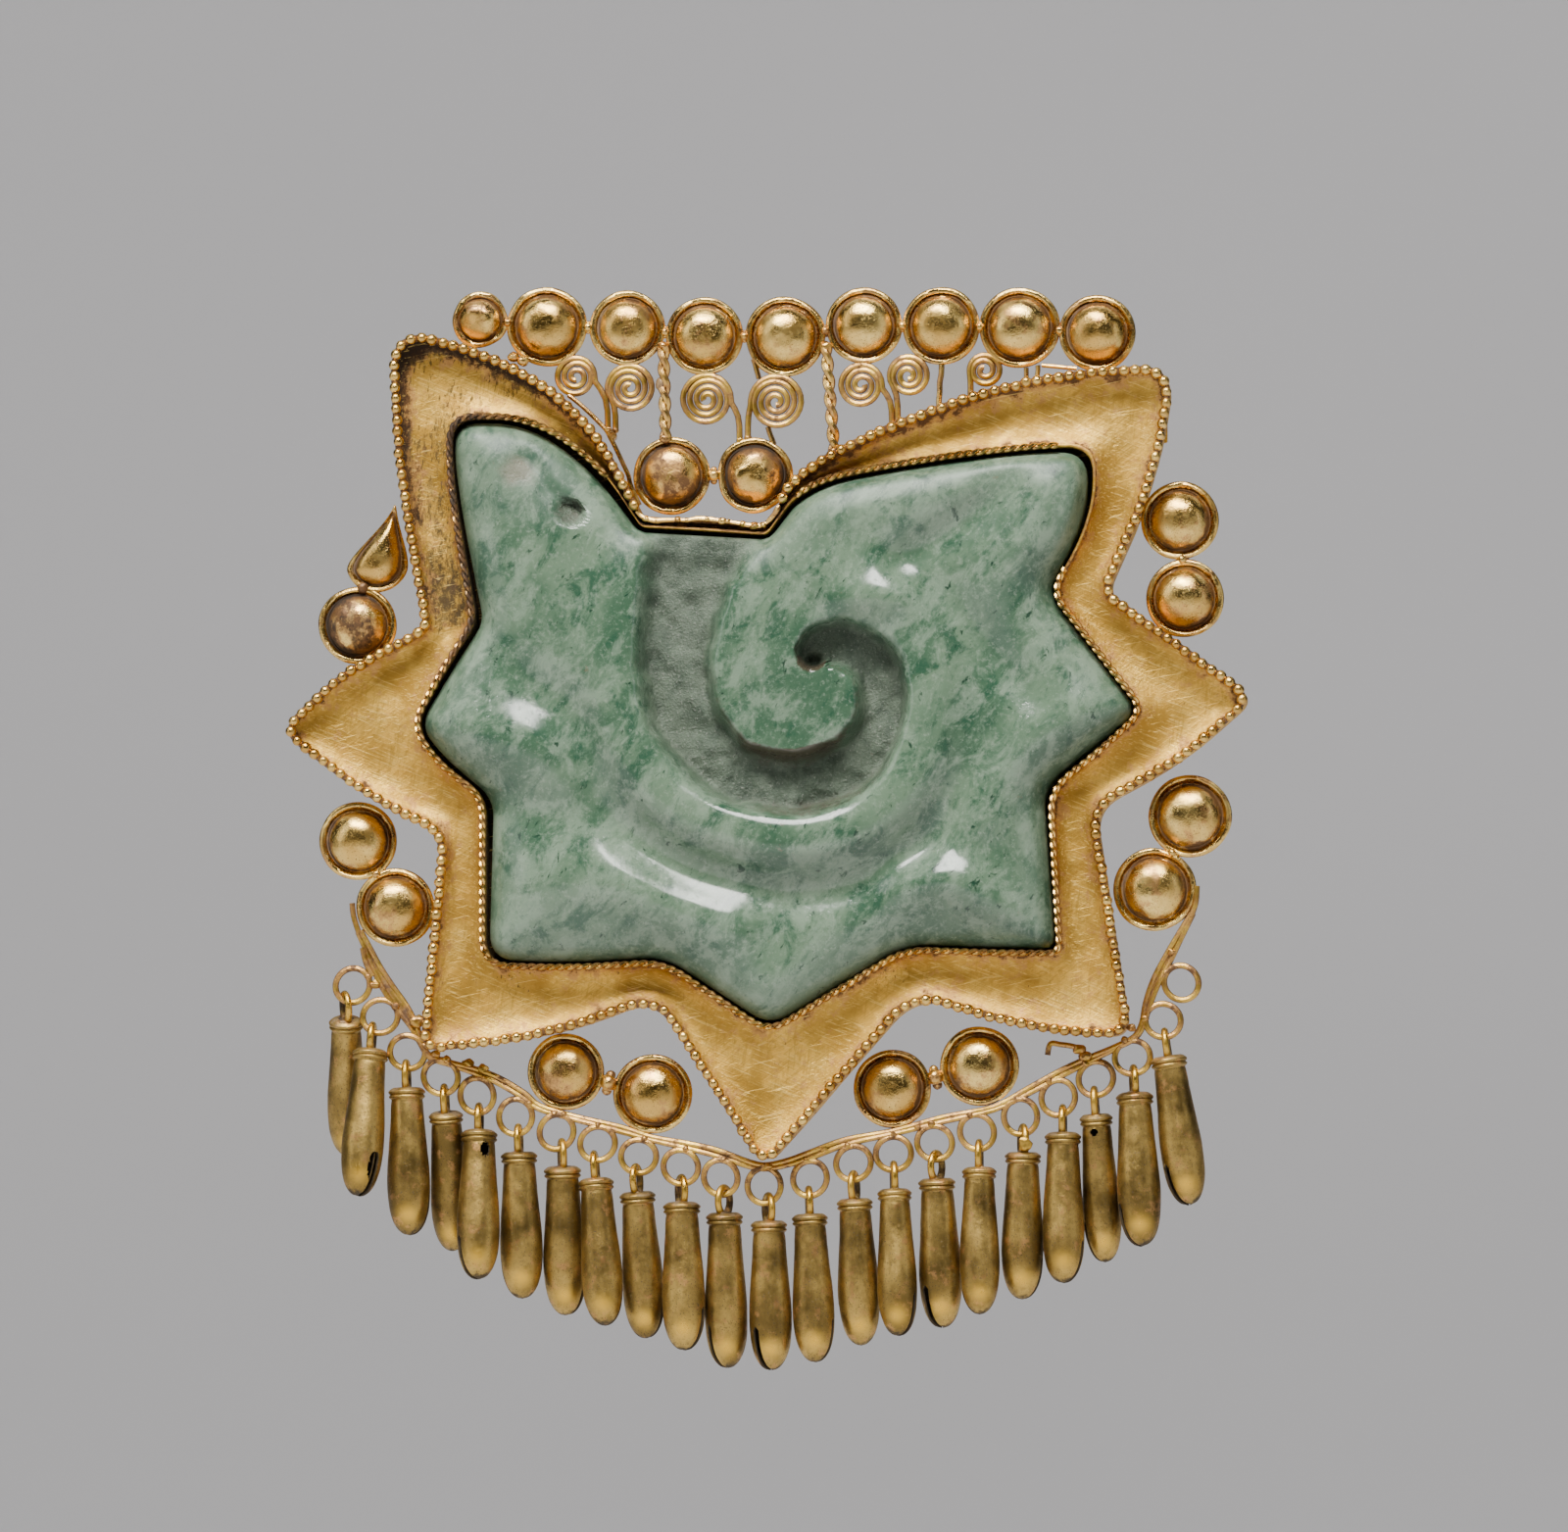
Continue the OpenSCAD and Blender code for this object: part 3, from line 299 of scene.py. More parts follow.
def respaced(path, spacing):
    """The same path with points evenly spaced along it."""
    run = lengths(path)
    spots = np.linspace(0, run[-1], max(2, int(round(run[-1] / spacing)) + 1))
    return np.stack([np.interp(spots, run, column) for column in path.T], axis=1)


def subdivided(outer, inner, spacing):
    """Two matching closed lines with points added, so that no step of either is longer."""
    lines = np.stack([outer, inner], axis=1)
    steps = np.roll(lines, -1, axis=0) - lines
    counts = np.ceil(np.linalg.norm(steps, axis=2).max(axis=1) / spacing).astype(int)
    rows = [line + k / count * step
            for line, step, count in zip(lines, steps, counts) for k in range(count)]
    return np.stack(rows, axis=1)


def nearest(p, path):
    """Distance from each 2D point to a path of x, z, ... rows, and the row's other numbers there."""
    best = np.full(len(p), np.inf)
    extra = np.zeros((len(p), path.shape[1] - 2))
    for a, b in zip(path[:-1], path[1:]):
        step = b[:2] - a[:2]
        t = np.clip((p - a[:2]) @ step / max(step @ step, 1e-12), 0, 1)
        d = np.linalg.norm(p - a[:2] - t[:, None] * step, axis=1)
        closer = d < best
        best[closer] = d[closer]
        extra[closer] = a[2:] + t[closer, None] * (b[2:] - a[2:])
    return best, extra


def noise(p, size, seed=0):
    """Smooth lumps from about -1 to 1, about `size` millimetres across."""
    q = np.asarray(p, float) / size + 7.3 * seed
    cell = np.floor(q)
    t = smoothstep(0, 1, q - cell)
    total = np.zeros(len(q))
    for corner in np.ndindex(*(2,) * q.shape[1]):
        h = np.sin((cell + corner) @ np.array([127.1, 311.7, 74.7])[:q.shape[1]] + seed) * 43758.5
        weight = np.prod(np.where(corner, t, 1 - t), axis=1)
        total += (2 * (h - np.floor(h)) - 1) * weight
    return total


def smoothstep(low, high, x):
    t = np.clip((x - low) / (high - low), 0, 1)
    return t * t * (3 - 2 * t)


def distance(flat, point):
    return np.linalg.norm(flat - np.array(point), axis=1)


def turn_about(axis, angle):
    """Matrix of a turn about X, Y or Z, which are numbered from 0."""
    matrix = np.eye(3)
    rows = (axis + 1) % 3, (axis + 2) % 3
    c, s = math.cos(angle), math.sin(angle)
    matrix[np.ix_(rows, rows)] = (c, -s), (s, c)
    return matrix


def circle(count):
    """Angles evenly spaced round a circle."""
    return 2 * np.pi * np.arange(count) / count


# Mesh building

class Shape:
    """A mesh that is put together from parts, with named numbers on its points."""

    def __init__(self):
        self.points, self.faces, self.marks, self.count = [], [], {}, 0

    def add(self, points, faces, **marks):
        points = np.asarray(points, float)
        self.faces += [tuple(int(i) + self.count for i in f) for f in faces]
        for name in set(marks) | set(self.marks):
            values = np.atleast_1d(np.asarray(marks.get(name, 0.0), float))
            self.marks.setdefault(name, [np.zeros(self.count)] if self.count else [])
            self.marks[name].append(np.repeat(values, len(points) // len(values)))
        self.points.append(points)
        self.count += len(points)
        return self


def grid_faces(rows, columns, wrap_rows=False, wrap_columns=True):
    a = np.arange(rows * columns).reshape(rows, columns)
    d = np.roll(a, -1, axis=0)
    faces = np.stack([a, np.roll(a, -1, axis=1), np.roll(d, -1, axis=1), d], axis=-1)
    faces = faces[:rows if wrap_rows else -1, :columns if wrap_columns else -1]
    return faces.reshape(-1, 4).tolist()


def caps(count, sides):
    """End faces of a grid of `count` points whose rows are rings."""
    return [list(range(sides))[::-1], list(range(count - sides, count))]


def frames(path, closed=False):
    """Directions to the side of a path and up from it, at each point."""
    if closed:
        forward = unit(np.roll(path, -1, 0) - np.roll(path, 1, 0))
    else:
        forward = unit(np.gradient(path, axis=0))
    side = np.cross(forward, (0, 1, 0))
    weak = np.linalg.norm(side, axis=1) < 0.2
    side[weak] = np.cross(forward[weak], (1, 0, 0))
    side = unit(side)
    return side, np.cross(side, forward)


def tube(path, radius, sides=8, closed=False, squash=1.0):
    """Round wire along a 3D path. radius may change from point to point."""
    side, up = (v[:, None] for v in frames(path, closed))
    angle = circle(sides)[:, None]
    ring = np.cos(angle) * side + squash * np.sin(angle) * up
    radius = np.broadcast_to(radius, len(path))
    points = (path[:, None] + radius[:, None, None] * ring).reshape(-1, 3)
    return points, grid_faces(len(path), sides, closed) + ([] if closed else caps(len(points), sides))


def add_wire(shape, path, radius, sides=8, closed=False, patina=0.2, **marks):
    """Adds a round wire that is clean on its crest and crusted towards its sides."""
    points, faces = tube(path, radius, sides, closed)
    radius, crest, patina, *rest = (np.repeat(np.broadcast_to(v, len(path)), sides)
                                    for v in (radius, path[:, 1], patina, *marks.values()))
    away = 1 + (points[:, 1] - crest) / radius
    shape.add(points, faces, patina=patina + 0.45 * smoothstep(0.3, 1.1, away), **dict(zip(marks, rest)))


def ball(centre, size, seed, rough, columns=12, rows=8):
    """Lump round a centre; size is one number or one for each axis."""
    theta = np.pi * (np.arange(rows) + 0.5) / rows
    t, p = np.meshgrid(theta, circle(columns), indexing="ij")
    knob = np.stack([np.sin(t) * np.cos(p), np.cos(t), np.sin(t) * np.sin(p)], -1).reshape(-1, 3)
    faces = grid_faces(rows, columns) + caps(len(knob), columns)
    knob *= (1 + rough * noise(knob + 3.1 * seed, 0.7, seed))[:, None]
    return centre + knob * size, faces


def helix(path, pitch, offset, start):
    """A strand that winds round a path at an offset."""
    path = respaced(path, pitch / 12)
    side, up = frames(path)
    angle = (2 * np.pi * lengths(path) / pitch + start)[:, None]
    return path + offset * (np.cos(angle) * side + np.sin(angle) * up)


def placed(name, data):
    obj = bpy.data.objects.new(name, data)
    bpy.context.scene.collection.objects.link(obj)
    return obj


def mesh_object(name, shape, material):
    mesh = bpy.data.meshes.new(name)
    mesh.from_pydata((np.vstack(shape.points) * MM).tolist(), [], shape.faces)
    mesh.validate()
    for mark, values in shape.marks.items():
        layer = mesh.attributes.new(mark, "FLOAT", "POINT")
        layer.data.foreach_set("value", np.concatenate(values).astype(np.float32))
    mesh.shade_smooth()
    mesh.materials.append(material)
    return placed(name, mesh)


def piece(name, node, shape, material, sharp=40):
    obj = mesh_object(name, shape, material)
    obj.data.set_sharp_from_angle(angle=math.radians(sharp))
    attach(obj, "root")
    if node:
        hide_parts(node)


# Materials

class Nodes:
    """Short forms for the shader nodes that the materials use."""

    def __init__(self, name):
        self.material = bpy.data.materials.new(name)
        self.material.use_nodes = True
        self.tree = self.material.node_tree
        self.shader = self.tree.nodes["Principled BSDF"]
        self.place = self.make("TexCoord", {}, "Object")

    def fill(self, node, inputs):
        """Links or sets a node's inputs, which are named or numbered."""
        for name, value in inputs.items():
            if isinstance(value, bpy.types.NodeSocket):
                self.tree.links.new(value, node.inputs[name])
            else:
                node.inputs[name].default_value = value

    def make(self, kind, inputs, output=0, **settings):
        """One output of a new node."""
        node = self.tree.nodes.new("ShaderNode" + kind)
        for name, value in settings.items():
            setattr(node, name, value)
        self.fill(node, inputs)
        return node.outputs[output]

    def noise(self, per_mm, detail=4.0, rough=0.55, stretch=(1, 1, 1), turn=0, warp=0.0):
        """Noise with so many cells to a millimetre, turned about Y by degrees, then stretched."""
        place = self.place
        if turn:
            place = self.make("Mapping", {"Vector": place, "Rotation": (0, math.radians(turn), 0)})
        place = self.make("Mapping", {"Vector": place, "Scale": [per_mm / MM * s for s in stretch]})
        return self.make("TexNoise", {"Vector": place, "Scale": 1.0, "Detail": detail,
                                      "Roughness": rough, "Distortion": warp}, "Fac")

    def mark(self, name):
        return self.make("Attribute", {}, "Fac", attribute_name=name)

    def step(self, value, low, high, to_low=0.0, to_high=1.0):
        return self.make("MapRange", {0: value, 1: low, 2: high, 3: to_low, 4: to_high},
                         interpolation_type="SMOOTHSTEP")

    def math(self, operation, a, b):
        return self.make("Math", {0: a, 1: b}, operation=operation)

    def plus(self, a, b):
        return self.math("ADD", a, b)

    def minus(self, a, b):
        return self.math("SUBTRACT", a, b)

    def times(self, a, b):
        return self.math("MULTIPLY", a, b)

    def most(self, a, b):
        return self.math("MAXIMUM", a, b)

    def mix(self, share, a, b):
        a, b = ((*v, 1.0) if isinstance(v, tuple) else v for v in (a, b))
        return self.make("Mix", {0: share, 6: a, 7: b}, 2, data_type="RGBA")

    def tint(self, base, colour, mask, share):
        """Lays a colour over the base where the mask is, at most by the share."""
        return self.mix(self.times(mask, share), base, colour)

    def bump(self, height, depth_mm, strength=1.0, under=None):
        inputs = {"Height": height, "Distance": depth_mm * MM, "Strength": strength}
        return self.make("Bump", inputs if under is None else {**inputs, "Normal": under})

    def finish(self, colour, roughness, normal, metallic):
        self.fill(self.shader, {"Base Color": colour, "Roughness": roughness, "Normal": normal,
                                "Metallic": metallic})
        return self.material


BRIGHT_GOLD = (0.92, 0.66, 0.19)
# Colour of rubbed gold, which also serves the painted highlights of the polish mark
POLISH_AND_HIGHLIGHT_GOLD = (0.74, 0.44, 0.050)
COPPER = (0.52, 0.275, 0.100)
ASH_CRUST = (0.160, 0.110, 0.080)
RED_PATINA = (0.105, 0.046, 0.017)
SOOT_AND_SHADE_COLOUR = (0.022, 0.014, 0.009)
# Brush marks: cells to a millimetre, stretch, turn, noise from and to, share, whether bright, depth
BRUSHING = [
    (5.0, 0.05, 38, 0.50, 0.62, 0.50, False, 0.035),
    (6.0, 0.04, -22, 0.52, 0.66, 0.50, True, 0.030),
    (4.0, 0.06, 82, 0.52, 0.64, 0.45, False, 0.030)]


def gold(name, light, deep, roughness, brushed, patina=1.0, speckle=0.0):
    """Worn gold alloy, with a reddish crust where the patina mark is and soot where the soot mark is;
    both marks also lay painted shade, and the polish mark partly a painted highlight.
    """
    n = Nodes(name)
    brush_shows = brushed > 0.6
    fine = n.noise(2.4, 6.0, 0.65)
    base = n.mix(n.step(n.noise(0.20, 5.0, 0.6), 0.36, 0.64), deep, light)
    base = n.tint(base, deep, n.step(fine, 0.42, 0.70), 0.45)
    strokes = []
    for per_mm, stretch, turn, low, high, share, bright, depth in BRUSHING:
        stroke = n.noise(per_mm, 5.0, 0.65, (stretch, 1, 1), turn)
        strokes.append((stroke, depth, brushed))
        if brush_shows:
            base = n.tint(base, BRIGHT_GOLD if bright else deep, n.step(stroke, low, high), share)
    crust_noise = n.noise(0.9, 7.0, 0.7)
    crust_and_shade = n.plus(n.times(n.mark("patina"), patina), n.step(crust_noise, 0.30, 0.70, 0.10, 0.80))
    base = n.tint(base, COPPER, n.step(crust_and_shade, 0.62, 0.86), 0.75)
    crust_and_shade = n.step(crust_and_shade, 0.86, 1.12)
    base = n.tint(base, RED_PATINA, crust_and_shade, 0.90)
    ash = n.step(n.plus(n.mark("ash"), n.noise(1.3, 7.0, 0.7)), 0.72, 0.98)
    base = n.tint(base, ASH_CRUST, ash, 0.75)
    crust_and_shade = n.most(crust_and_shade, ash)
    soot = n.step(n.plus(n.mark("soot"), n.noise(1.5, 8.0, 0.75, (1, 1, 0.6))), 0.76, 0.98)
    if brush_shows:
        dashes = n.plus(n.noise(4.5, 4.0, 0.6, (0.28, 1, 1), 84), n.times(n.mark("soot"), 0.5))
        soot = n.most(soot, n.times(n.step(dashes, 0.70, 0.76), 0.8))
    if speckle:
        soot = n.most(soot, n.times(n.step(n.noise(2.6, 6.0, 0.7), 0.58, 0.68), speckle))
        soot = n.most(soot, n.times(n.step(n.noise(8.0, 1.0, 0.4), 0.64, 0.70), 2.0 * speckle))
    # The dark of the soot mark is real soot and also painted shade
    base = n.tint(base, SOOT_AND_SHADE_COLOUR, soot, 0.9)
    # The polish mark brightens the colour, for rubbed metal and for painted highlights
    polish = n.mark("polish")
    base = n.tint(base, light, polish, 0.75)
    base = n.tint(base, POLISH_AND_HIGHLIGHT_GOLD, polish, 0.85)
    scratch = n.step(n.noise(7.0, 2.0, 0.5, (0.03, 1, 1), 12, 0.2), 0.62, 0.70)
    if brush_shows:
        base = n.tint(base, BRIGHT_GOLD, scratch, 0.5)
    rough = n.step(n.noise(0.5, 3.0), 0.3, 0.7, roughness - 0.06, roughness + 0.1)
    rough = n.plus(n.plus(rough, n.times(crust_and_shade, 0.22)), n.times(soot, 0.35))
    rough = n.minus(rough, n.times(polish, 0.15))
    metal = n.minus(1.0, n.times(n.most(soot, n.times(crust_and_shade, 0.7)), 0.8))
    normal = None
    for bump in (*strokes, (scratch, 0.02, 0.6 * brushed), (fine, 0.03, 0.5), (crust_noise, 0.12, 0.35)):
        normal = n.bump(*bump, normal)
    return n.finish(base, rough, normal, metal)


# The stone's dark clouds, milky clouds, pale grain, dark grain, black flecks and rust: cells to a
# millimetre, detail, roughness, warp, whether streaked, noise from and to, share, colour
MOTTLING = [
    (0.36, 7.0, 0.68, 0.6, True, 0.49, 0.62, 0.90, (0.022, 0.072, 0.040)),
    (0.45, 9.0, 0.70, 0.4, True, 0.46, 0.62, 0.70, (0.205, 0.280, 0.200)),
    (2.4, 6.0, 0.75, 0.0, False, 0.50, 0.68, 0.42, (0.270, 0.330, 0.255)),
    (1.7, 6.0, 0.75, 0.4, True, 0.53, 0.66, 0.45, (0.024, 0.076, 0.042)),
    (1.1, 5.0, 0.65, 0.5, True, 0.62, 0.70, 0.90, (0.007, 0.032, 0.018)),
    (1.0, 6.0, 0.65, 0.0, False, 0.67, 0.75, 0.45, (0.20, 0.12, 0.08))]


def jade():
    """Polished stone, mottled from greyish white to dark green, matt where it is carved."""
    n = Nodes("jade")
    streak = ((0.60, 1, 1), 56)
    plain = ((1, 1, 1), 0)
    cloud = n.noise(0.13, 5.0, 0.6, *streak, 0.5)
    colour = n.mix(n.step(cloud, 0.36, 0.62), (0.044, 0.100, 0.057), (0.120, 0.188, 0.120))
    for per_mm, detail, rough, warp, streaked, low, high, share, tone in MOTTLING:
        spots = n.noise(per_mm, detail, rough, *(streak if streaked else plain), warp)
        colour = n.tint(colour, tone, n.step(spots, low, high), share)
    carved = n.mark("carved")
    earth = n.step(n.noise(0.8, 8.0, 0.75), 0.38, 0.64)
    colour = n.tint(colour, n.mix(earth, (0.042, 0.050, 0.033), (0.100, 0.122, 0.085)), carved, 0.62)
    # Pale specks on the carved grains are painted glints; the same grains are bumped below
    grains_and_glints = n.noise(4.5, 3.0, 0.7)
    colour = n.tint(colour, (0.34, 0.35, 0.30), n.times(carved, n.step(grains_and_glints, 0.58, 0.70)), 0.6)
    colour = n.tint(colour, (0.23, 0.175, 0.125), n.mark("pink"), 0.45)
    # The stain mark darkens the stone to brown: real staining, and painted shadow and shade where it is
    # marked
    darkening = n.plus(n.mark("stain"), n.times(n.noise(1.2, 8.0, 0.75), 0.8))
    colour = n.tint(colour, (0.052, 0.034, 0.022), n.step(darkening, 0.70, 1.10), 0.85)
    rough = n.plus(n.step(n.noise(1.2), 0.3, 0.7, 0.12, 0.19),
                   n.times(n.most(carved, n.mark("rim")), 0.34))
    normal = n.bump(n.step(n.noise(3.2, 3.0, 0.6), 0.60, 0.80, 1.0, 0.0), 0.03, 0.30)
    normal = n.bump(n.noise(0.6, 2.0), 0.08, 0.25, normal)
    normal = n.bump(n.times(grains_and_glints, carved), 0.22, 1.0, normal)
    n.fill(n.shader, {"Subsurface Weight": 0.10, "Subsurface Radius": (0.6, 1.0, 0.7),
                      "Subsurface Scale": 0.8 * MM, "IOR": 1.55})
    return n.finish(colour, rough, normal, 0.0)


def backdrop_paint():
    n = Nodes("studio_paper")
    tone = n.mix(n.noise(0.004, 2.0), (0.66, 0.65, 0.66), (0.72, 0.71, 0.72))
    return n.finish(tone, 0.95, n.bump(n.noise(0.5, 2.0), 0.2, 0.1), 0.0)


tray_gold = gold("tray_gold", (0.76, 0.475, 0.092), (0.43, 0.245, 0.040), 0.54, 1.0, patina=0.9)
wire_gold = gold("wire_gold", (0.84, 0.57, 0.17), (0.50, 0.29, 0.070), 0.25, 0.2)
worn_gold = gold("worn_gold", (0.68, 0.44, 0.085), (0.34, 0.20, 0.035), 0.36, 0.3, 0.85, speckle=0.25)
boss_gold = gold("boss_gold", (0.88, 0.63, 0.20), (0.62, 0.38, 0.095), 0.23, 0.4, speckle=0.3)
bell_gold = gold("bell_gold", (0.52, 0.35, 0.100), (0.19, 0.125, 0.036), 0.40, 0.2, 0.5, speckle=0.4)
jade_stone = jade()


# Tray

def tray():
    steps = 8
    outer, inner = subdivided(rounded(WALL_CORNERS, steps), rounded(BEZEL_CORNERS, steps), 0.8)
    shares = np.linspace(0.08, 0.92, 11)
    side = TROUGH + DISH
    dish = TROUGH + DISH * np.abs(2 * shares - 1) ** 2.6
    rows, across, depth, shade = [], [], [], []
    for o, i in zip(outer, inner):
        width = np.linalg.norm(i - o)
        inward = (i - o) / width
        t = min(SHEET, width / 3) / 2
        s, f = np.array([
            (-t, 0), (-t, WALL - CHAMFER), (-0.6 * t, WALL), (0.6 * t, WALL), (t, WALL - CHAMFER),
            (t, side), *zip(t + shares * (width - 2 * t), dish), (width - t, side),
            (width - t, BEZEL - CHAMFER), (width - 0.5 * t, BEZEL), (width + 0.5 * t, BEZEL),
            (width + t, BEZEL - CHAMFER), (width + t, LEDGE_THICK), (width + t + LEDGE, LEDGE_THICK),
            (width + t + LEDGE, 0), (width - t, 0), (width - t, side - SHEET),
            (0.5 * width, TROUGH - SHEET), (t, side - SHEET), (t, 0)]).T
        rows.append(at(*(o + s[:, None] * inward).T, f))
        across.append(s / width)
        between = (0 < s) & (s < width)
        depth.append(np.where(between, np.minimum(np.abs(s - t), np.abs(width - t - s)), 0))
        # Painted shadow under each wall whose outer side faces up: strength and spread of a dark band on
        # the floor, greater on the upper left arm
        darkened, spread = (1.3, 1.7) if o[0] < -10 and o[1] > -9 else (0.55, 1.0)
        shade.append(darkened * max(0, -inward[1]) * np.exp(-(s / spread) ** 2))
    points, across, depth, shade = (np.concatenate(v) for v in (rows, across, depth, shade))
    height = BACK_Y - points[:, 1]
    front = (across > 0.02) & (across < 0.98) & (height > TROUGH - 0.1)
    # The ledge behind the stone is sooted black as painted shade in the gaps round the jade
    ledge_shade = (across > 1.01) & (height < 1)
    flat = points[:, [0, 2]]
    hammer = 0.10 * noise(flat, 4.5, 1) + 0.05 * noise(flat, 1.8, 2)
    points[:, 1] += np.where(front, hammer * np.clip(depth, 0, 1), 0)
    points[:, 0] += 0.05 * noise(flat, 5.0, 3)
    points[:, 2] += 0.05 * noise(flat, 5.0, 4)
    corner = np.exp(-depth / np.where(across < 0.5, 0.95, 0.45))
    # The painted shadow (shade) is laid into the patina and soot marks
    shape = Shape().add(points, grid_faces(len(rows), len(rows[0]), wrap_rows=True),
                        patina=np.where(front, 0.58 * corner + 0.6 * shade, 0.30),
                        soot=soot_marks(flat) + 0.42 * shade * front + ledge_shade)
    piece("tray", "frame_tray", shape, tray_gold, sharp=50)


# Places where soot and earth cling to the tray: x, z, radius, strength
SOOT_SPOTS = [
    (-26.5, 1.5, 3.2, 0.28), (-28.6, -2, 2.6, 0.26), (-28.4, -7, 2.8, 0.31), (-28, -12, 2.8, 0.37),
    (-27.3, -16, 2.6, 0.42), (-22, 3.5, 2.2, 0.2), (-30, 5.5, 2, 0.18), (-24.6, -36, 1.6, 0.16),
    (-22, -47.6, 2.6, 0.22), (-13.5, -46.6, 2.2, 0.18), (10, -46.4, 2.4, 0.26), (29.5, -46, 1.5, 0.16),
    (36.2, -24, 1.2, 0.16), (24.6, -37, 1.2, 0.14), (0.2, -53.5, 1.6, 0.14), (-27.5, -47, 1.8, 0.14),
    (26.8, -29.5, 1.4, 0.12)]


def soot_marks(flat):
    return sum(strength * np.exp(-(distance(flat, (x, z)) / radius) ** 2)
               for x, z, radius, strength in SOOT_SPOTS)


# Wires on the tray

def past_notch(corners, short):
    """The run of an outline from the notch's right side round to its left side."""
    steps = 12
    first = PAST_NOTCH * (steps + 1)
    line = rounded(corners, steps)
    run = np.roll(line, -first, axis=0)[short:len(line) - 2 * (steps + 1) - short]
    keep = np.concatenate([[True], np.linalg.norm(np.diff(run, axis=0), axis=1) > 1e-4])
    return run[keep]


def beads():
    line = np.vstack([past_notch(WALL_CORNERS, 0), (-11.45, -7.1)])
    centres = respaced(line, BEAD_SPACING)
    shape = Shape()
    height = WALL + BEAD_RADIUS
    for i, (c, h) in enumerate(zip(centres, unit(np.gradient(centres, axis=0)))):
        size = BEAD_RADIUS * (1 + rng.uniform(-0.08, 0.06))
        shift = rng.normal(0, 0.035, 3)
        points, faces = ball(0, (size, size * 0.96, size * 0.93), i, 0.05, 14, 10)
        turn = np.array([[h[0], 0, -h[1]], [0, 1, 0], [h[1], 0, h[0]]])
        darkening = np.clip((points[:, 1] + 0.05) / 0.35, 0, 1) + 0.45 * (np.abs(points[:, 0]) > 0.34)
        shape.add(points * (0.98, 1, 1) @ turn.T + at(*c, height) + shift, faces,
                  patina=0.55 * darkening, soot=soot_marks(c[None])[0] * 0.8)
    for k, (x, z) in enumerate(((-21.8, 5.55), (-20.95, 5.2))):
        shape.add(*ball(at(x, z, height - 0.2), (0.52, 0.8, 0.45), k, 0.2), patina=0.15)
    core = at(*respaced(line, 0.6).T, height - 0.05)
    shape.add(*tube(core, 0.30, 6), patina=0.8, soot=0.1)
    piece("beads", "beaded_wire", shape, wire_gold)


def rope():
    """Two-strand border of the bezel; it is lost beside the jade's right corner and the notch."""
    path = at(*respaced(past_notch(BEZEL_CORNERS, 3), 0.4).T, BEZEL + 0.35)
    path[:, 1] += 0.05 * noise(path[:, [0, 2]], 4.0, 5)
    lost = (path[:, [0, 2]] > ROPE_LOST).all(axis=1)
    breaks = np.flatnonzero(np.diff(lost)) + 1
    shape = Shape()
    for run, gone in zip(np.split(path, breaks), np.split(lost, breaks)):
        if gone[0]:
            continue
        for start in (0, math.pi):
            strand = helix(run, 1.6, 0.15, start)
            darkened = smoothstep(-21, -25, strand[:, 0]) * smoothstep(-24, -18, strand[:, 2])
            add_wire(shape, strand, 0.17, 6, patina=0.16 + 0.5 * darkened,
                     soot=0.5 * soot_marks(strand[:, [0, 2]]) + 0.25 * darkened)
    piece("rope", "rope_wire", shape, wire_gold)


def edge_strip():
    shape = Shape()
    add_wire(shape, smoothed(at(*zip(*EDGE_WIRE), WALL - 0.5), 8), 0.2, patina=0.25)
    for k, (x, z) in enumerate(((-13.75, -0.8), (-13.4, -1.2))):
        shape.add(*ball(at(x, z, WALL - 1.2), (0.34, 0.95, 0.34), k, 0.25, 10), patina=0.4)
    piece("edge_wire_round", "edge_wire", shape, wire_gold)


def notch_wire():
    path = respaced(smoothed(at(*zip(*NOTCH_WIRE), WALL + 0.12), 10), 0.25)
    path[:, 2] += 0.13 * noise(path[:, [0, 2]], 0.9, 6)
    path[:, 1] += 0.10 * noise(path[:, [0, 2]], 1.1, 7)
    shape = Shape()
    add_wire(shape, path, 0.22 * (1 + 0.3 * noise(path[:, [0, 2]], 0.5, 8)), patina=0.22, soot=0.08)
    for i, (x, size) in enumerate(NOTCH_LUMPS):
        spot = path[np.argmin(np.abs(path[:, 0] - x))]
        shape.add(*ball(spot, size * np.array([1.25, 1.1, 1]), i, 0.25, 10), patina=0.15)
    piece("notch_wire", None, shape, wire_gold)


# Jade

def blurred(field, cells):
    """A grid of heights, smoothed over a number of cells."""
    reach = int(3 * cells)
    weights = np.exp(-0.5 * (np.arange(-reach, reach + 1) / cells) ** 2)
    weights /= weights.sum()
    for _ in range(2):
        padded = np.pad(field, ((reach, reach), (0, 0)), mode="edge")
        field = sum(w * padded[k:k + len(field)] for k, w in enumerate(weights)).T
    return field


def jade_body(flat, edge):
    """Height of the stone above its back before the groove is cut, and distance from its edge."""
    wall, _ = nearest(flat, edge)
    relief = 0.16 * noise(flat, 7.0, 13) + 0.05 * noise(flat, 2.6, 14)
    for rows in RELIEF:
        d, size = nearest(flat, smoothed(rows, 4))
        relief += 1.2 * size[:, 0] * np.exp(-(d / size[:, 1]) ** 2)
    d, size = nearest(flat, smoothed(BAND, 8))
    relief += size[:, 0] * np.where(d < 1.6, 1.0, np.exp(-((d - 1.6) / 0.75) ** 2))
    blunt = 1.3 - 0.6 * smoothstep(-14, -11, flat[:, 0]) * smoothstep(-14, -10, flat[:, 1])
    return JADE_EDGE + (JADE_RISE + relief) * (1 - np.exp(-wall / blunt)), wall


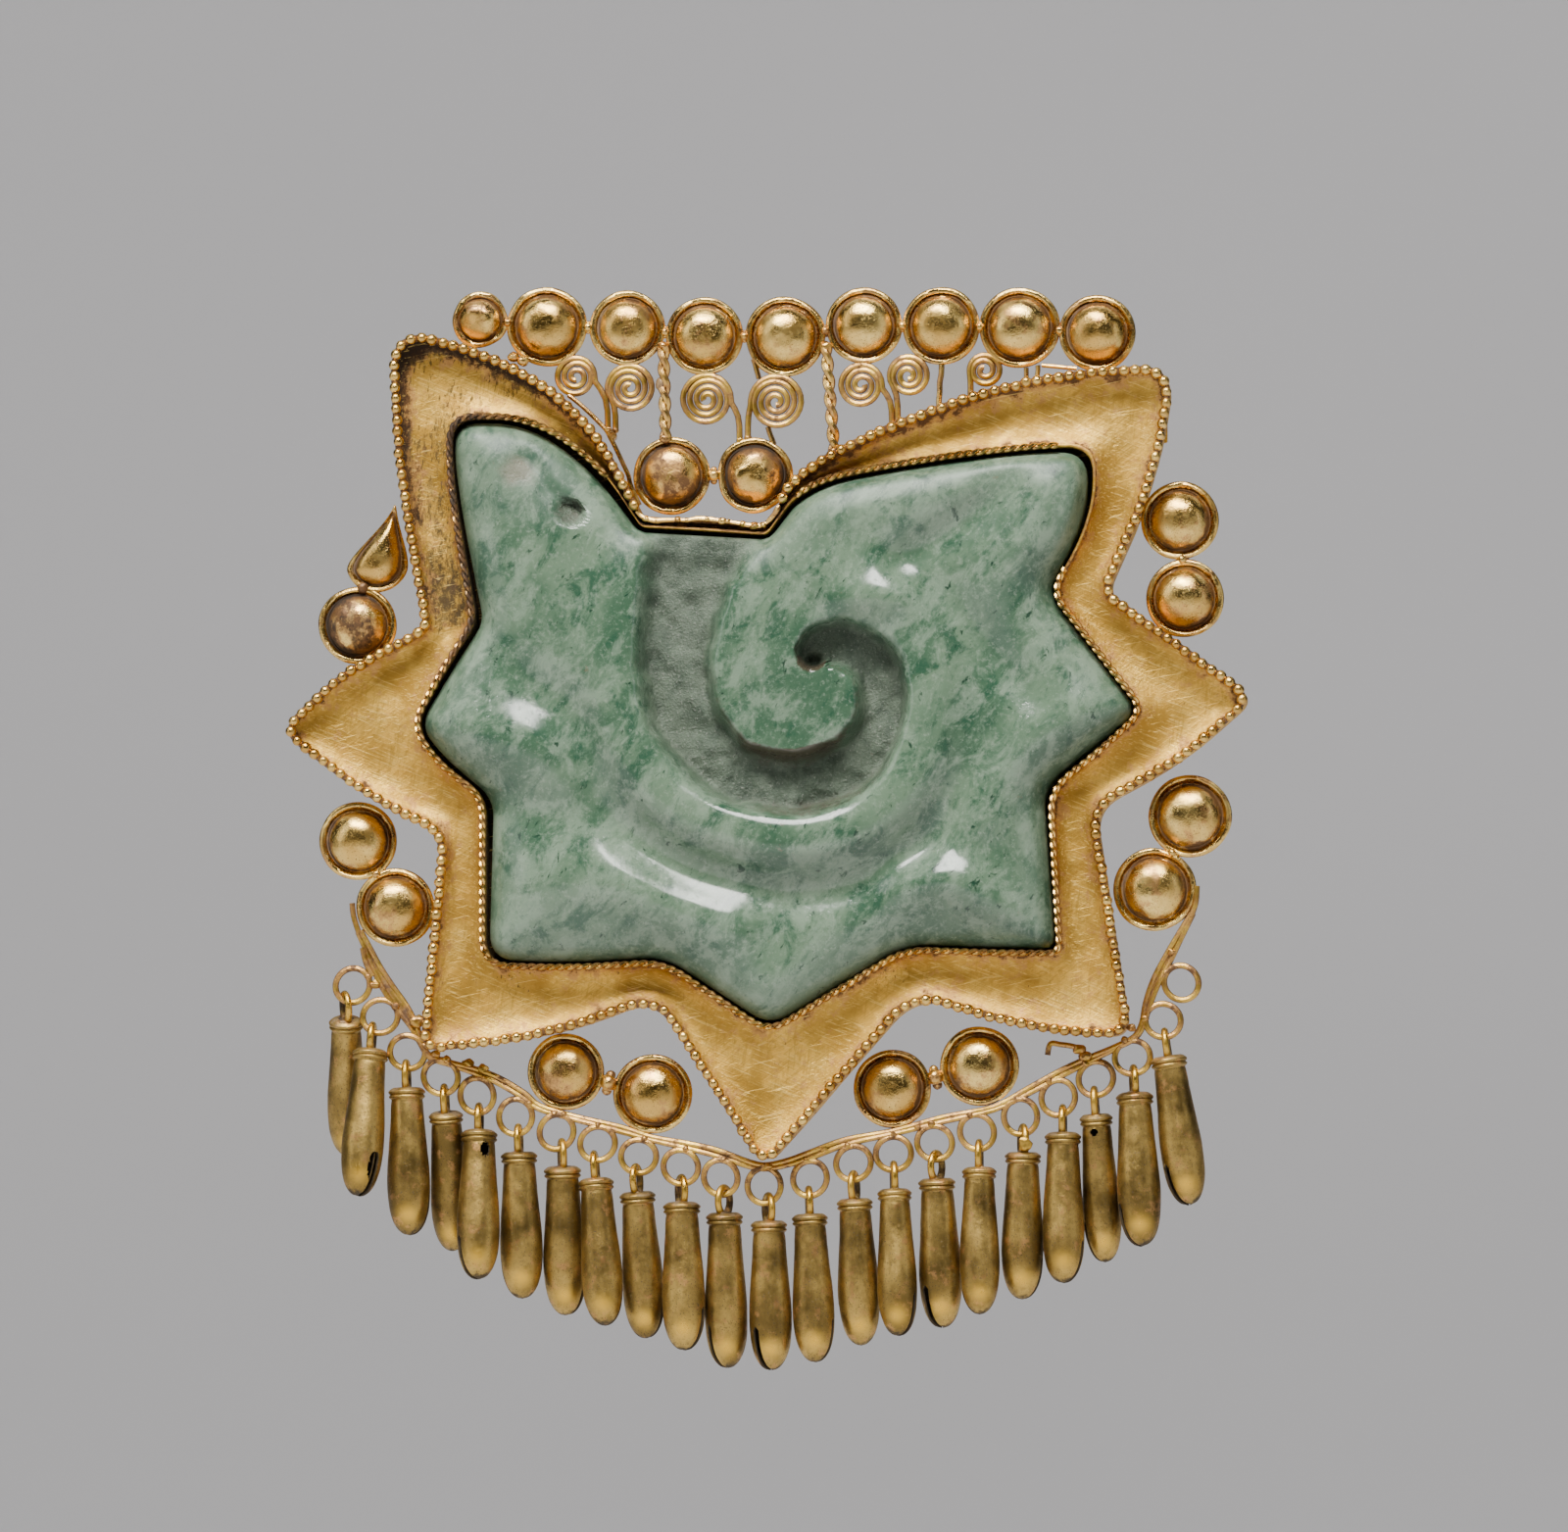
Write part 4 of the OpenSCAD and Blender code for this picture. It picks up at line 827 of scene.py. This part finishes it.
def smooth_body(edge):
    """The same heights on a grid, smoothed, as a function of place."""
    cell = 0.25
    low = edge.min(axis=0) - 2
    count = np.ceil((edge.max(axis=0) + 2 - low) / cell).astype(int) + 1
    flat = low + cell * np.stack([v.ravel() for v in np.indices(count)], 1)
    field = blurred(jade_body(flat, edge)[0].reshape(count), 0.75 / cell)

    def height(p):
        q = (p - low) / cell
        k = np.floor(q).astype(int)
        t = q - k
        return sum(np.abs(1 - a - t[:, 0]) * np.abs(1 - b - t[:, 1]) * field[k[:, 0] + a, k[:, 1] + b]
                   for a, b in np.ndindex(2, 2))

    return height


def jade_plaque():
    edge = rounded(JADE, 12)
    edge = respaced(np.vstack([edge, edge[:1]]), 0.6)[:-1]
    closed = np.vstack([edge, edge[:1]])
    n = len(edge)
    shares = np.concatenate([[1, 0.996, 0.990, 0.982, 0.973, 0.962], np.linspace(0.95, 0.012, 80)])
    flat = (JADE_CENTRE + (edge - JADE_CENTRE) * shares[:, None, None]).reshape(-1, 2)
    waver = 0.12 * np.stack([noise(flat, 6.0, 11), noise(flat, 6.0, 12)], 1)
    flat += waver * (np.repeat(shares, n) < 0.9)[:, None]
    body, wall = jade_body(flat, closed)
    body += (smooth_body(closed)(flat) - body) * smoothstep(0.6, 2.2, wall)
    d, depth = nearest(flat, smoothed(LOBE_HOLLOW, 6))
    body -= depth[:, 0] * np.exp(-(d / 0.65) ** 2)
    share, width = nearest(flat, smoothed(GROOVE, 8))
    share = share / width[:, 0]
    floor = GROOVE_FLOOR + 0.34 * noise(flat, 1.5, 15) + 0.12 * noise(flat, 0.7, 16)
    floor += 0.8 * smoothstep(-15.5, -6.0, flat[:, 1])
    carved = 1 - smoothstep(0.62, 1.12, share + 0.06 * noise(flat, 1.3, 17))
    height = body + (np.minimum(floor, body) - body) * carved
    pit, hole, old_pit = (distance(flat, spot) for spot in (DRILLED_PIT, CRESCENT, OLD_PIT))
    height -= 0.7 * (1 - smoothstep(0.35, 0.85, pit))
    slope = 0.45 * (flat - CRESCENT).sum(axis=1)
    height -= (0.8 + 0.7 * np.clip(slope, -1, 1)) * (1 - smoothstep(0.85, 1.30, hole))
    height -= 0.18 * (1 - smoothstep(0.7, 1.7, old_pit))
    height[:n] = JADE_EDGE
    points = np.vstack([at(*edge.T, JADE_BACK), at(*flat.T, JADE_BACK + height),
                        at(*JADE_CENTRE, JADE_BACK + height[-n:].mean()), at(*JADE_CENTRE, JADE_BACK)])
    rows = len(shares) + 1
    last, top = (rows - 1) * n, rows * n
    faces = grid_faces(rows, n)
    faces += [(last + j, last + (j + 1) % n, top) for j in range(n)]
    faces += [((j + 1) % n, j, top + 1) for j in range(n)]
    # Painted shadow and shade in the stain mark: the groove's floor below the core is darkened where the
    # core's shadow falls, the drilled pit and the crescent-shaped hole are darkened inside, and the
    # groove's flanks get a brown stain that is partly painted shadow
    flank = np.exp(-((share - 1.0) / 0.22) ** 2)
    low = smoothstep(1.5, -2.5, flat[:, 1] + 27.0) * smoothstep(0.1, 0.7, share)
    core_shadow = low * within(flat, (3.0, -27.0), 5.5) * (share < 1.15)
    stain = (0.46 * flank * within(flat, (2.0, -24.5), 5.5) + 0.42 * core_shadow + 0.35 * (pit < 1.2)
             + 0.45 * (hole < 1.1))
    old = 1 - smoothstep(0.7, 1.8, old_pit + 0.3 * noise(flat, 0.8, 18))
    rough = np.maximum(np.maximum(carved, 0.35 * old), 0.9 * (1 - smoothstep(1.0, 1.4, hole)))
    reach = np.where((flat[:, 0] > -2) & (flat[:, 1] > -13), 4.6, 2.6)
    matt = np.maximum(np.exp(-(wall / reach) ** 2), within(flat, (-20.0, -3.0), 4.0))
    # The marks of the back's edge, of the front and of the two middle points
    marks = {name: np.concatenate([np.full(n, back), front, [0, 0]])
             for name, back, front in (("carved", 0, rough), ("pink", 0, old), ("rim", 1, matt),
                                       ("stain", 0, stain))}
    piece("jade", "jade_plaque", Shape().add(points, faces, **marks), jade_stone, sharp=60)


def within(flat, centre, radius):
    """1 within a radius of a point, falling to 0 over the same distance again."""
    return 1 - smoothstep(radius, 2 * radius, distance(flat, centre))


# Bosses

# The rims' wires stand this much wider than the CAD's
BOSS_SPREAD = 1.04


def boss_points(radius, seed, crumple):
    """Points of a boss about its centre, facing -Y, with its faces and shares for its patina."""
    dome = 0.75 * radius
    rise = 0.64 * dome
    rim = 0.28
    ring = [(radius - rim + rim * math.cos(a), 0.26 + rim * math.sin(a))
            for a in np.radians([-70, -30, 10, 50, 90, 130, 170, 205])]
    sweep = np.sin(np.radians(np.linspace(89, 1, 15)))
    dish = [((dome - 0.3) * u, rise * (1 - u ** 2.4) ** 0.6) for u in sweep[::-3]]
    cap = [(dome * u, 0.37 + rise * (1 - u ** 2.4) ** 0.6) for u in sweep]
    profile = dish + [(radius - 0.12, 0.0)] + ring + [(dome + 0.14, 0.39), (dome + 0.04, 0.39)] + cap
    columns = 60
    angle = circle(columns)
    r, f = np.array(profile).T[:, :, None]
    flat = np.stack([r * np.cos(angle), r * np.sin(angle)], -1).reshape(-1, 2)
    y = -np.repeat(f, columns)
    reach = np.linalg.norm(flat, axis=1)
    dent = noise(flat + 31.7 * seed, radius * 0.6, seed)
    ripple = noise(flat + 17.1 * seed, radius * 0.25, seed + 1)
    on_dome = (y < -0.25) & (reach < dome)
    y += on_dome * ((0.05 + 0.45 * crumple) * dent + (0.02 + 0.12 * crumple) * ripple)
    y += (0.02 + 0.10 * crumple) * ripple * (reach > dome)
    flat *= (1 + (0.010 + 0.05 * crumple) * dent)[:, None]
    faces = grid_faces(len(profile), columns) + caps(len(flat), columns)
    recess = np.exp(-((reach - dome - 0.12) / 0.22) ** 2)
    side = smoothstep(0.80, 1.0, reach / dome) * (reach < dome + 0.05)
    return np.stack([flat[:, 0], y, flat[:, 1]], 1), faces, recess, side, reach / radius


def add_boss(shape, row, seed, move=None):
    x, z, radius, dark, crumple = row
    radius *= BOSS_SPREAD
    points, faces, recess, side, reach = boss_points(radius, seed, crumple)
    flat = points[:, [0, 2]]
    low = smoothstep(0.2, -0.9, flat[:, 1] / radius)
    left = smoothstep(-0.2, -0.8, flat[:, 0] / radius)
    cloud = noise(flat + 5.3 * seed, radius * 0.5, seed + 2)
    blotch = smoothstep(0.1 - 0.6 * dark, 0.6 - 0.5 * dark, cloud) * (reach < 0.8)
    if move is not None:
        points = move(points)
    # Soot in the recess round the dome is painted shade; the patina there is the hollow's crust
    shape.add(points + at(x, z, BOSS_BACK), faces,
              patina=(0.38 * recess + (0.20 + 0.30 * dark + 0.10 * low) * side
                      + (0.08 + 0.52 * dark) * blotch + 0.14 * (reach > 0.88)),
              soot=(0.12 + 0.15 * dark) * recess + 0.36 * dark ** 2 * blotch + 0.06 * low * side,
              ash=0.45 * left * (recess + side) * (seed % 3 == 0))


def add_granules(shape, a, b, seed):
    """Grains of solder where two bosses meet."""
    a, b = np.array(a[:3]), np.array(b[:3])
    step = b[:2] - a[:2]
    gap = np.linalg.norm(step) - a[2] - b[2]
    middle = a[:2] + unit(step) * (a[2] + gap / 2)
    size = max(0.38, gap / 2 + 0.12)
    shape.add(*ball(at(*middle, BOSS_BACK + 0.4), size, seed, 0.08, 16, 12), patina=0.25)
    across = unit(np.array([-step[1], step[0]]))
    for k, s in enumerate((-1, 1)):
        spot = middle + s * across * size * 0.9
        shape.add(*ball(at(*spot, BOSS_BACK + 0.2), 0.6 * size, seed + k + 1, 0.1), patina=0.45)


def boss_group(name, node, seed, rows):
    shape = Shape()
    for i, row in enumerate(rows):
        add_boss(shape, row, seed + i)
    for i in range(len(rows) - 1):
        add_granules(shape, rows[i], rows[i + 1], seed + 40 + i)
    piece(name, node, shape, boss_gold)


def pulled(points):
    """The bent boss: its upper part is squeezed together and drawn out to a point."""
    t = smoothstep(-0.35, 1.05, points[:, 2] / BENT_BOSS[2])
    x = points[:, 0] * (1 - 0.88 * t) + 1.5 * t
    y = points[:, 1] * (1 - 0.25 * t)
    return np.stack([x, y, points[:, 2] + 2.0 * t], 1)


def bent_pair():
    shape = Shape()
    add_boss(shape, LEFT_UPPER, 31)
    add_boss(shape, BENT_BOSS, 33, pulled)
    shape.add(*ball(at(-34.9, -13.9, BOSS_BACK + 0.3), 0.55, 3, 0.2), patina=0.8, soot=0.15)
    piece("bosses_left_bent", "bosses_left_upper", shape, boss_gold)


# Crest wires

# The stem of a scroll on its way to the foot: shares of the way in x and in z
STEM = [(0.06, 0.1), (0.45, 0.24), (0.8, 0.42), (0.96, 0.65)]


def scroll(i, row):
    x, z, radius, side, *foot = row
    wire, pitch, eye = 0.265, 0.58, 0.28
    reach = 1.03 * radius - wire
    turns = (reach - eye) / pitch + 0.5
    angle = np.arange(turns * 2 * np.pi, 0, -0.26)
    r = reach - pitch * np.maximum(angle - np.pi, 0) / (2 * np.pi)
    start = np.array([x + side * reach, z])
    flat = np.vstack([np.stack([x + side * r * np.cos(angle), z + r * np.sin(angle)], 1),
                      start, start + (foot - start) * STEM, foot])
    path = at(*flat.T, BOSS_BACK + 0.24)
    path[:, 1] += 0.05 * noise(flat, 1.5, 20 + i)
    shape = Shape()
    add_wire(shape, path, wire, patina=0.34, soot=0.08)
    shape.add(*ball(at(*foot, BOSS_BACK + 0.22), 0.32, i, 0.25, 10), patina=0.45)
    piece(f"scroll_wire_{i}", f"scroll_{i}", shape, worn_gold)


def post(i, row):
    """A thick post of two strands, or a thin one of plain wire."""
    top, foot, width = np.array(row[:2]), np.array(row[2:4]), row[4]
    height = BOSS_BACK + width / 2 + 0.05
    thick = width > 0.6
    if thick:
        top[1] += 0.45
        foot[1] -= 0.15
    path = respaced(np.array([at(*foot, height), at(*top, height)]), 0.2)
    shape = Shape()
    if thick:
        for start in (0, math.pi):
            add_wire(shape, helix(path, 3.0, 0.24, start), 0.32, patina=0.24, soot=0.06)
        for k, spot in enumerate((foot, top)):
            shape.add(*ball(at(*spot, height), (0.50, 0.45, 0.40), i + k, 0.3), patina=0.38)
        if i == 1:
            shape.add(*ball(at(-9.45, 3.3, height), (0.40, 0.45, 0.6), 5, 0.3), patina=0.3, ash=0.5)
    else:
        path[:, 0] += 0.06 * noise(path[:, [0, 2]], 0.8, 30 + i)
        add_wire(shape, path, width / 2, patina=0.25)
    piece(f"post_wire_{i}", f"post_{i}", shape, wire_gold)


# Rail and rings

def rail():
    rows = smoothed(RAIL, 4)
    line, half = rows[:, :2], rows[:, 2:3]
    ashen = line[:, 0] < ASHEN_LEFT
    across = unit(np.gradient(line, axis=0)[:, ::-1] * (-1, 1))
    shape = Shape()
    for side in (-1, 1):
        flat = line + side * (half - 0.17) * across
        path = at(*flat.T, RAIL_HEIGHT)
        path[:, 1] += 0.06 * noise(flat, 2.2, 40 + side)
        add_wire(shape, path, RAIL_WIRE, patina=0.34, soot=0.19, ash=0.20 * (flat[:, 0] < ASHEN_LEFT))
    middle = at(*line.T, RAIL_HEIGHT - 0.05)
    inner = np.maximum(half[:, 0] - RAIL_INSET, RAIL_INSET)
    shape.add(*tube(middle, inner, squash=0.45), patina=0.50, soot=0.22, ash=0.25 * ashen)
    for i, ring in enumerate(RINGS):
        angle = circle(40)
        oval = RING_REACH * (1 + 0.03 * np.sin(2 * angle + i))
        lean = rng.normal(0, 0.05)
        path = at(ring[0] + oval * np.cos(angle), ring[1] + oval * np.sin(angle),
                  RAIL_HEIGHT - lean * np.sin(angle))
        add_wire(shape, path, RING_WIRE, closed=True, patina=0.34 + 0.2 * np.sin(angle),
                 soot=0.17 + 0.08 * np.cos(angle + i))
        spot = line[np.argmin(distance(line, ring))]
        joint = ring + unit(spot - ring) * (RING_REACH + 0.1)
        shape.add(*ball(at(*joint, RAIL_HEIGHT), 0.36, i, 0.2), patina=0.55)
    for i, (x, z, size) in enumerate(RAIL_LUMPS):
        shape.add(*ball(at(x, z, RAIL_HEIGHT + 0.1), size * np.array([1.1, 0.8, 0.9]), i, 0.35, 14, 10),
                  patina=0.40, soot=0.05)
    for wire in LOOSE_WIRES:
        add_wire(shape, smoothed(at(*zip(*wire), RAIL_HEIGHT + 0.1), 6), RAIL_WIRE, patina=0.35)
    piece("rail_and_rings", "bell_rail", shape, worn_gold)


# Bells

def pierced(angle, level, radii, size, hole):
    """Moves the grid's points inside a hole out to its rim, and says which cells are open."""
    side, share, wide, high = hole
    middle = math.radians(side - 90)
    u = (np.mod(angle - middle + math.pi, 2 * math.pi) - math.pi) * radii[:, None]
    v = level - share * size
    q = np.hypot(u / wide, v / high)
    inside = np.pad(q < 1, 1)
    deep = inside[:-2, 1:-1] & inside[2:, 1:-1] & inside[1:-1, :-2] & inside[1:-1, 2:]
    inside = inside[1:-1, 1:-1]
    rim = inside & ~deep
    q = np.maximum(q, 0.3)
    angle = np.where(rim, middle + u / q / radii[:, None], angle)
    level = np.where(rim, share * size + v / q, level)
    cells = inside[:-1, :-1] & inside[1:, :-1] & inside[:-1, 1:] & inside[1:, 1:]
    return angle, level, rim, cells


def bell_shell(size, radius, slit_angle, opening, hole, seed):
    """Two half shells that part at the slit, as points, faces and which points are inside."""
    fine, columns = (3, 40) if hole else (2, 24)
    section = smoothed(BELL_SECTION, fine)
    radii, drop = section[:, 0] * radius, section[:, 1] * size
    slit = opening * np.sqrt(np.clip((SLIT_HEIGHT - size + drop) / SLIT_TAPER, 0, 1))
    gap = np.arcsin(np.clip(slit / np.maximum(radii, 0.31), 0, 0.98))[:, None]
    count = len(section)
    block = count * columns
    points, inside, faces = [], [], []
    for half in (0, 1):
        t = np.linspace(0, 1, columns)[None]
        angle = math.radians(slit_angle - 90) + half * math.pi + gap + t * (math.pi - 2 * gap)
        level = np.broadcast_to(drop[:, None], angle.shape)
        cells = np.zeros((count - 1, columns - 1), bool)
        reach = np.broadcast_to(radii[:, None], angle.shape)
        if hole:
            angle, level, rim, cells = pierced(angle, level, radii, size, hole)
            body = slice(fine * BODY_ROW, None)
            reach = np.where(rim, np.interp(level, drop[body], radii[body]), reach)
        for r, mark in ((reach, 0), (np.maximum(reach - BELL_WALL, 0.02), 1)):
            points.append(np.stack([r * np.cos(angle), r * np.sin(angle), -level], -1).reshape(-1, 3))
            inside.append(np.full(block, mark))
        outer, inner = 2 * half * block, (2 * half + 1) * block
        for i, j in np.ndindex(count - 1, columns - 1):
            a, b = i * columns + j, (i + 1) * columns + j
            corners = (a, b, b + 1, a + 1)
            if cells[i, j]:
                for k, (di, dj) in enumerate(((0, -1), (1, 0), (0, 1), (-1, 0))):
                    m, n = i + di, j + dj
                    if 0 <= m < count - 1 and 0 <= n < columns - 1 and not cells[m, n]:
                        c, d = corners[k], corners[(k + 1) % 4]
                        faces.append((outer + d, outer + c, inner + c, inner + d))
            else:
                faces.append([outer + c for c in corners])
                faces.append([inner + c for c in corners[::-1]])
            if slit[i + 1] > 0 and j in (0, columns - 2):
                c, d = (a, b) if j == 0 else (b + 1, a + 1)
                faces.append((outer + d, outer + c, inner + c, inner + d))
    top = [*range(columns)][::-1] + [*range(2 * block + columns - 1, 2 * block - 1, -1)]
    points = np.vstack(points)
    dent = noise(points + 13.7 * seed, 2.6, seed)
    small = noise(points + 5.9 * seed, 0.9, seed + 1)
    points[:, :2] *= (1 + 0.018 * dent + 0.008 * small)[:, None]
    return points, faces + [top], np.concatenate(inside)


def bell(i, row):
    collar_x, foot_x, length, lean, slit_angle, spin = row
    ring_x, ring_z = RINGS[i - 1]
    size = length + COLLAR_SHARE
    tilt = -math.asin((foot_x - collar_x) / length)
    back = math.asin(lean / length)
    swing = (collar_x + (CAP_DROP + COLLAR_SHARE) * math.sin(tilt) - ring_x) / RING_REACH
    hold = at(ring_x + swing * RING_REACH, ring_z - RING_REACH * math.sqrt(1 - swing ** 2), RAIL_HEIGHT)
    turned = turn_about(1, tilt) @ turn_about(0, back)
    radius = BELL_RADIUS * GIRTH[i - 1]
    opening, hole = SPRUNG.get(i, SLIT), BELL_HOLES.get(i)
    points, faces, inside = bell_shell(size, radius, slit_angle, opening, hole, i)
    drop = -points[:, 2] / size
    facing = np.clip(-points[:, 1] / radius, -1, 1)
    # The foot is rubbed bright in an oval on its front, and the oval is also a painted highlight of the
    # low fill light's reflection
    polish = np.exp(-((drop - 0.855) / 0.055) ** 2 - ((points[:, 0] / radius - 0.05) / 0.42) ** 2)
    # Painted shade: the sides turned away from the front are darkened with patina and soot (edge); the
    # inner surface is blackened and the tip darkened
    edge = smoothstep(0.75, 0.0, facing)
    cap = smoothstep(0.045, 0.0, drop)
    tip = smoothstep(0.90, 1.0, drop)
    shape = Shape()
    shape.add(points @ turned.T + hold + turned @ (0, 0, -CAP_DROP), faces,
              patina=0.10 + 0.22 * edge + 0.15 * cap,
              soot=0.06 + 0.28 * edge + 0.9 * inside + 0.16 * tip,
              polish=polish * (facing > 0) * (1 - inside), ash=0.30 * cap)
    angle = circle(36)
    spin = math.radians(spin)
    loop = np.stack([-math.sin(spin) * BAIL_REACH * np.cos(angle),
                     math.cos(spin) * BAIL_REACH * np.cos(angle),
                     BAIL_REACH * np.sin(angle) - BAIL_DROP], 1)
    # The bail's front and top get a painted highlight through the polish mark, and its part behind gets
    # painted shade through the soot mark; its lower part is crusted
    low = smoothstep(-0.2, -1.0, np.sin(angle))
    behind = smoothstep(0.1, 0.8, np.cos(angle))
    shape.add(*tube(loop @ turned.T + hold, BAIL_WIRE * (1 + 0.15 * low), 10, closed=True),
              patina=0.2 + 0.3 * low, soot=0.04 + 0.35 * behind,
              polish=0.7 * (1 - low) * (1 - behind), ash=0.3 * low)
    for k, (side, lump) in enumerate(((-1, 0.34), (1, 0.30))):
        foot = np.array([rng.uniform(-0.15, 0.15), side * 0.75, -CAP_DROP + 0.02])
        shape.add(*ball(turned @ foot + hold, np.array([1.5, 1.2, 0.75]) * lump, i + k, 0.25),
                  patina=0.35, ash=0.35)
    if i == LUMPED_BELL:
        lump = turned @ (0.25, -BAIL_REACH, -BAIL_DROP - 0.25) + hold
        shape.add(*ball(lump, (0.60, 0.45, 0.66), i, 0.35, 16, 12), patina=0.2, polish=0.5)
    piece(f"bell_shell_{i:02d}", f"bell_{i:02d}", shape, bell_gold, sharp=50)


# Cord tubes on the back

def cord_tube(name, node, x, foot_low, foot_high):
    """Rolled sheet tube on a foot whose edges are worn round."""
    columns = 40
    rows = [(-2, 0.9), (-2, 1.22), (-1.92, 1.3), (1.92, 1.3), (2, 1.22), (2, 0.9)]
    along, reach = np.array(rows).T[:, :, None]
    angle = circle(columns)
    points = np.stack(np.broadcast_arrays(x + along, reach * np.sin(angle), reach * np.cos(angle)),
                      -1).reshape(-1, 3)
    points[:, 1:] *= (1 + 0.01 * noise(points, 1.2, 50))[:, None]
    shape = Shape().add(points, grid_faces(len(rows), columns, wrap_rows=True), patina=0.3, soot=0.1)
    outline = [(foot_low, -1.7), (foot_low + 0.1, -1.8), (foot_high - 0.1, -1.8), (foot_high, -1.7),
               (foot_high, 1.7), (foot_high - 0.1, 1.8), (foot_low + 0.1, 1.8), (foot_low, 1.7)]
    plate = [(px, BACK_Y + depth, pz) for depth in (0.0, 0.5) for px, pz in outline]
    shape.add(plate, grid_faces(2, len(outline)) + caps(len(plate), len(outline)), patina=0.4, soot=0.1)
    piece(name, node, shape, tray_gold)


# Stage, light and camera

# Floor that turns up into a backdrop: distance behind the object, height, in metres
SWEEP = [
    (-2.4, -0.16), (0.6, -0.16), (1.0, -0.15), (1.25, -0.10), (1.45, 0.02), (1.58, 0.25), (1.62, 0.6),
    (1.62, 2.6)]
SWEEP_HALF_WIDTH = 2.6
LIT_POINT = np.array([0.0, -0.004, -0.029])
# Soft boxes: name, azimuth, elevation, distance, width, height, power, colour
LIGHTS = [
    ("key_above", -8, 56, 0.75, 0.52, 0.30, 14.0, (1.0, 0.98, 0.95)),
    ("left_box", -60, 20, 0.80, 0.25, 0.60, 1.2, (1.0, 0.98, 0.96)),
    ("right_box", 66, 12, 0.80, 0.25, 0.60, 0.6, (0.97, 0.98, 1.0)),
    ("low_fill", 4, -36, 0.80, 0.60, 0.16, 2.6, (1.0, 0.90, 0.72))]


def stage():
    curve = smoothed(SWEEP, 6) / MM
    points = [(x / MM, y, z) for y, z in curve for x in (-SWEEP_HALF_WIDTH, SWEEP_HALF_WIDTH)]
    shape = Shape().add(points, grid_faces(len(curve), 2, wrap_columns=False))
    mesh_object("studio_sweep", shape, backdrop_paint())


def world():
    tone = bpy.data.worlds.new("studio")
    tone.use_nodes = True
    background = tone.node_tree.nodes["Background"]
    background.inputs["Color"].default_value = (0.50, 0.50, 0.53, 1)
    background.inputs["Strength"].default_value = 0.05
    bpy.context.scene.world = tone


def toward(azimuth, elevation):
    """Direction from the object, in degrees right of its front and above the level."""
    a, e = math.radians(azimuth), math.radians(elevation)
    return np.array([math.sin(a) * math.cos(e), -math.cos(a) * math.cos(e), math.sin(e)])


def aim(obj, place, direction):
    """Puts a light or camera in its place, with its -Z against a direction and its top up."""
    x, y, z = direction
    obj.location = place
    obj.rotation_euler = (math.atan2(math.hypot(x, y), z), 0.0, math.atan2(x, -y))


def area_light(name, width, height, power, colour, place, direction):
    data = bpy.data.lights.new(name, "AREA")
    data.shape = "RECTANGLE"
    data.size, data.size_y = width, height
    data.energy = power
    data.color = colour
    aim(placed(name, data), place, direction)


def camera():
    distance_m, seen_width = 1.2, 0.1329
    direction = toward(5, -3)
    data = bpy.data.cameras.new("camera")
    data.sensor_width = 36.0
    data.sensor_fit = "HORIZONTAL"
    data.lens = data.sensor_width * distance_m / seen_width
    data.clip_start, data.clip_end = 0.01, 20.0
    view = placed("camera", data)
    aim(view, np.array([0.0013, -0.0062, -0.0294]) + direction * distance_m, direction)
    bpy.context.scene.camera = view


tray()
beads()
rope()
edge_strip()
notch_wire()
jade_plaque()
for group in BOSS_GROUPS:
    boss_group(*group)
bent_pair()
for number, row in enumerate(SCROLLS, 1):
    scroll(number, row)
for number, row in enumerate(POSTS, 1):
    post(number, row)
rail()
for number, row in enumerate(BELLS, 1):
    bell(number, row)
cord_tube("cord_tube_left", "suspension_tube_left", -29.7, -32.2, -27.1)
cord_tube("cord_tube_right", "suspension_tube_right", 29.7, 27.2, 33.6)

stage()
world()
for name, azimuth, elevation, away, width, height, power, colour in LIGHTS:
    direction = toward(azimuth, elevation)
    area_light(name, width, height, power, colour, LIT_POINT + direction * away, direction)
area_light("backdrop_light", 2.0, 0.4, 8.0, (1, 1, 1), (0.0, 0.45, 0.95), (0.0, -0.72, 0.69))
camera()
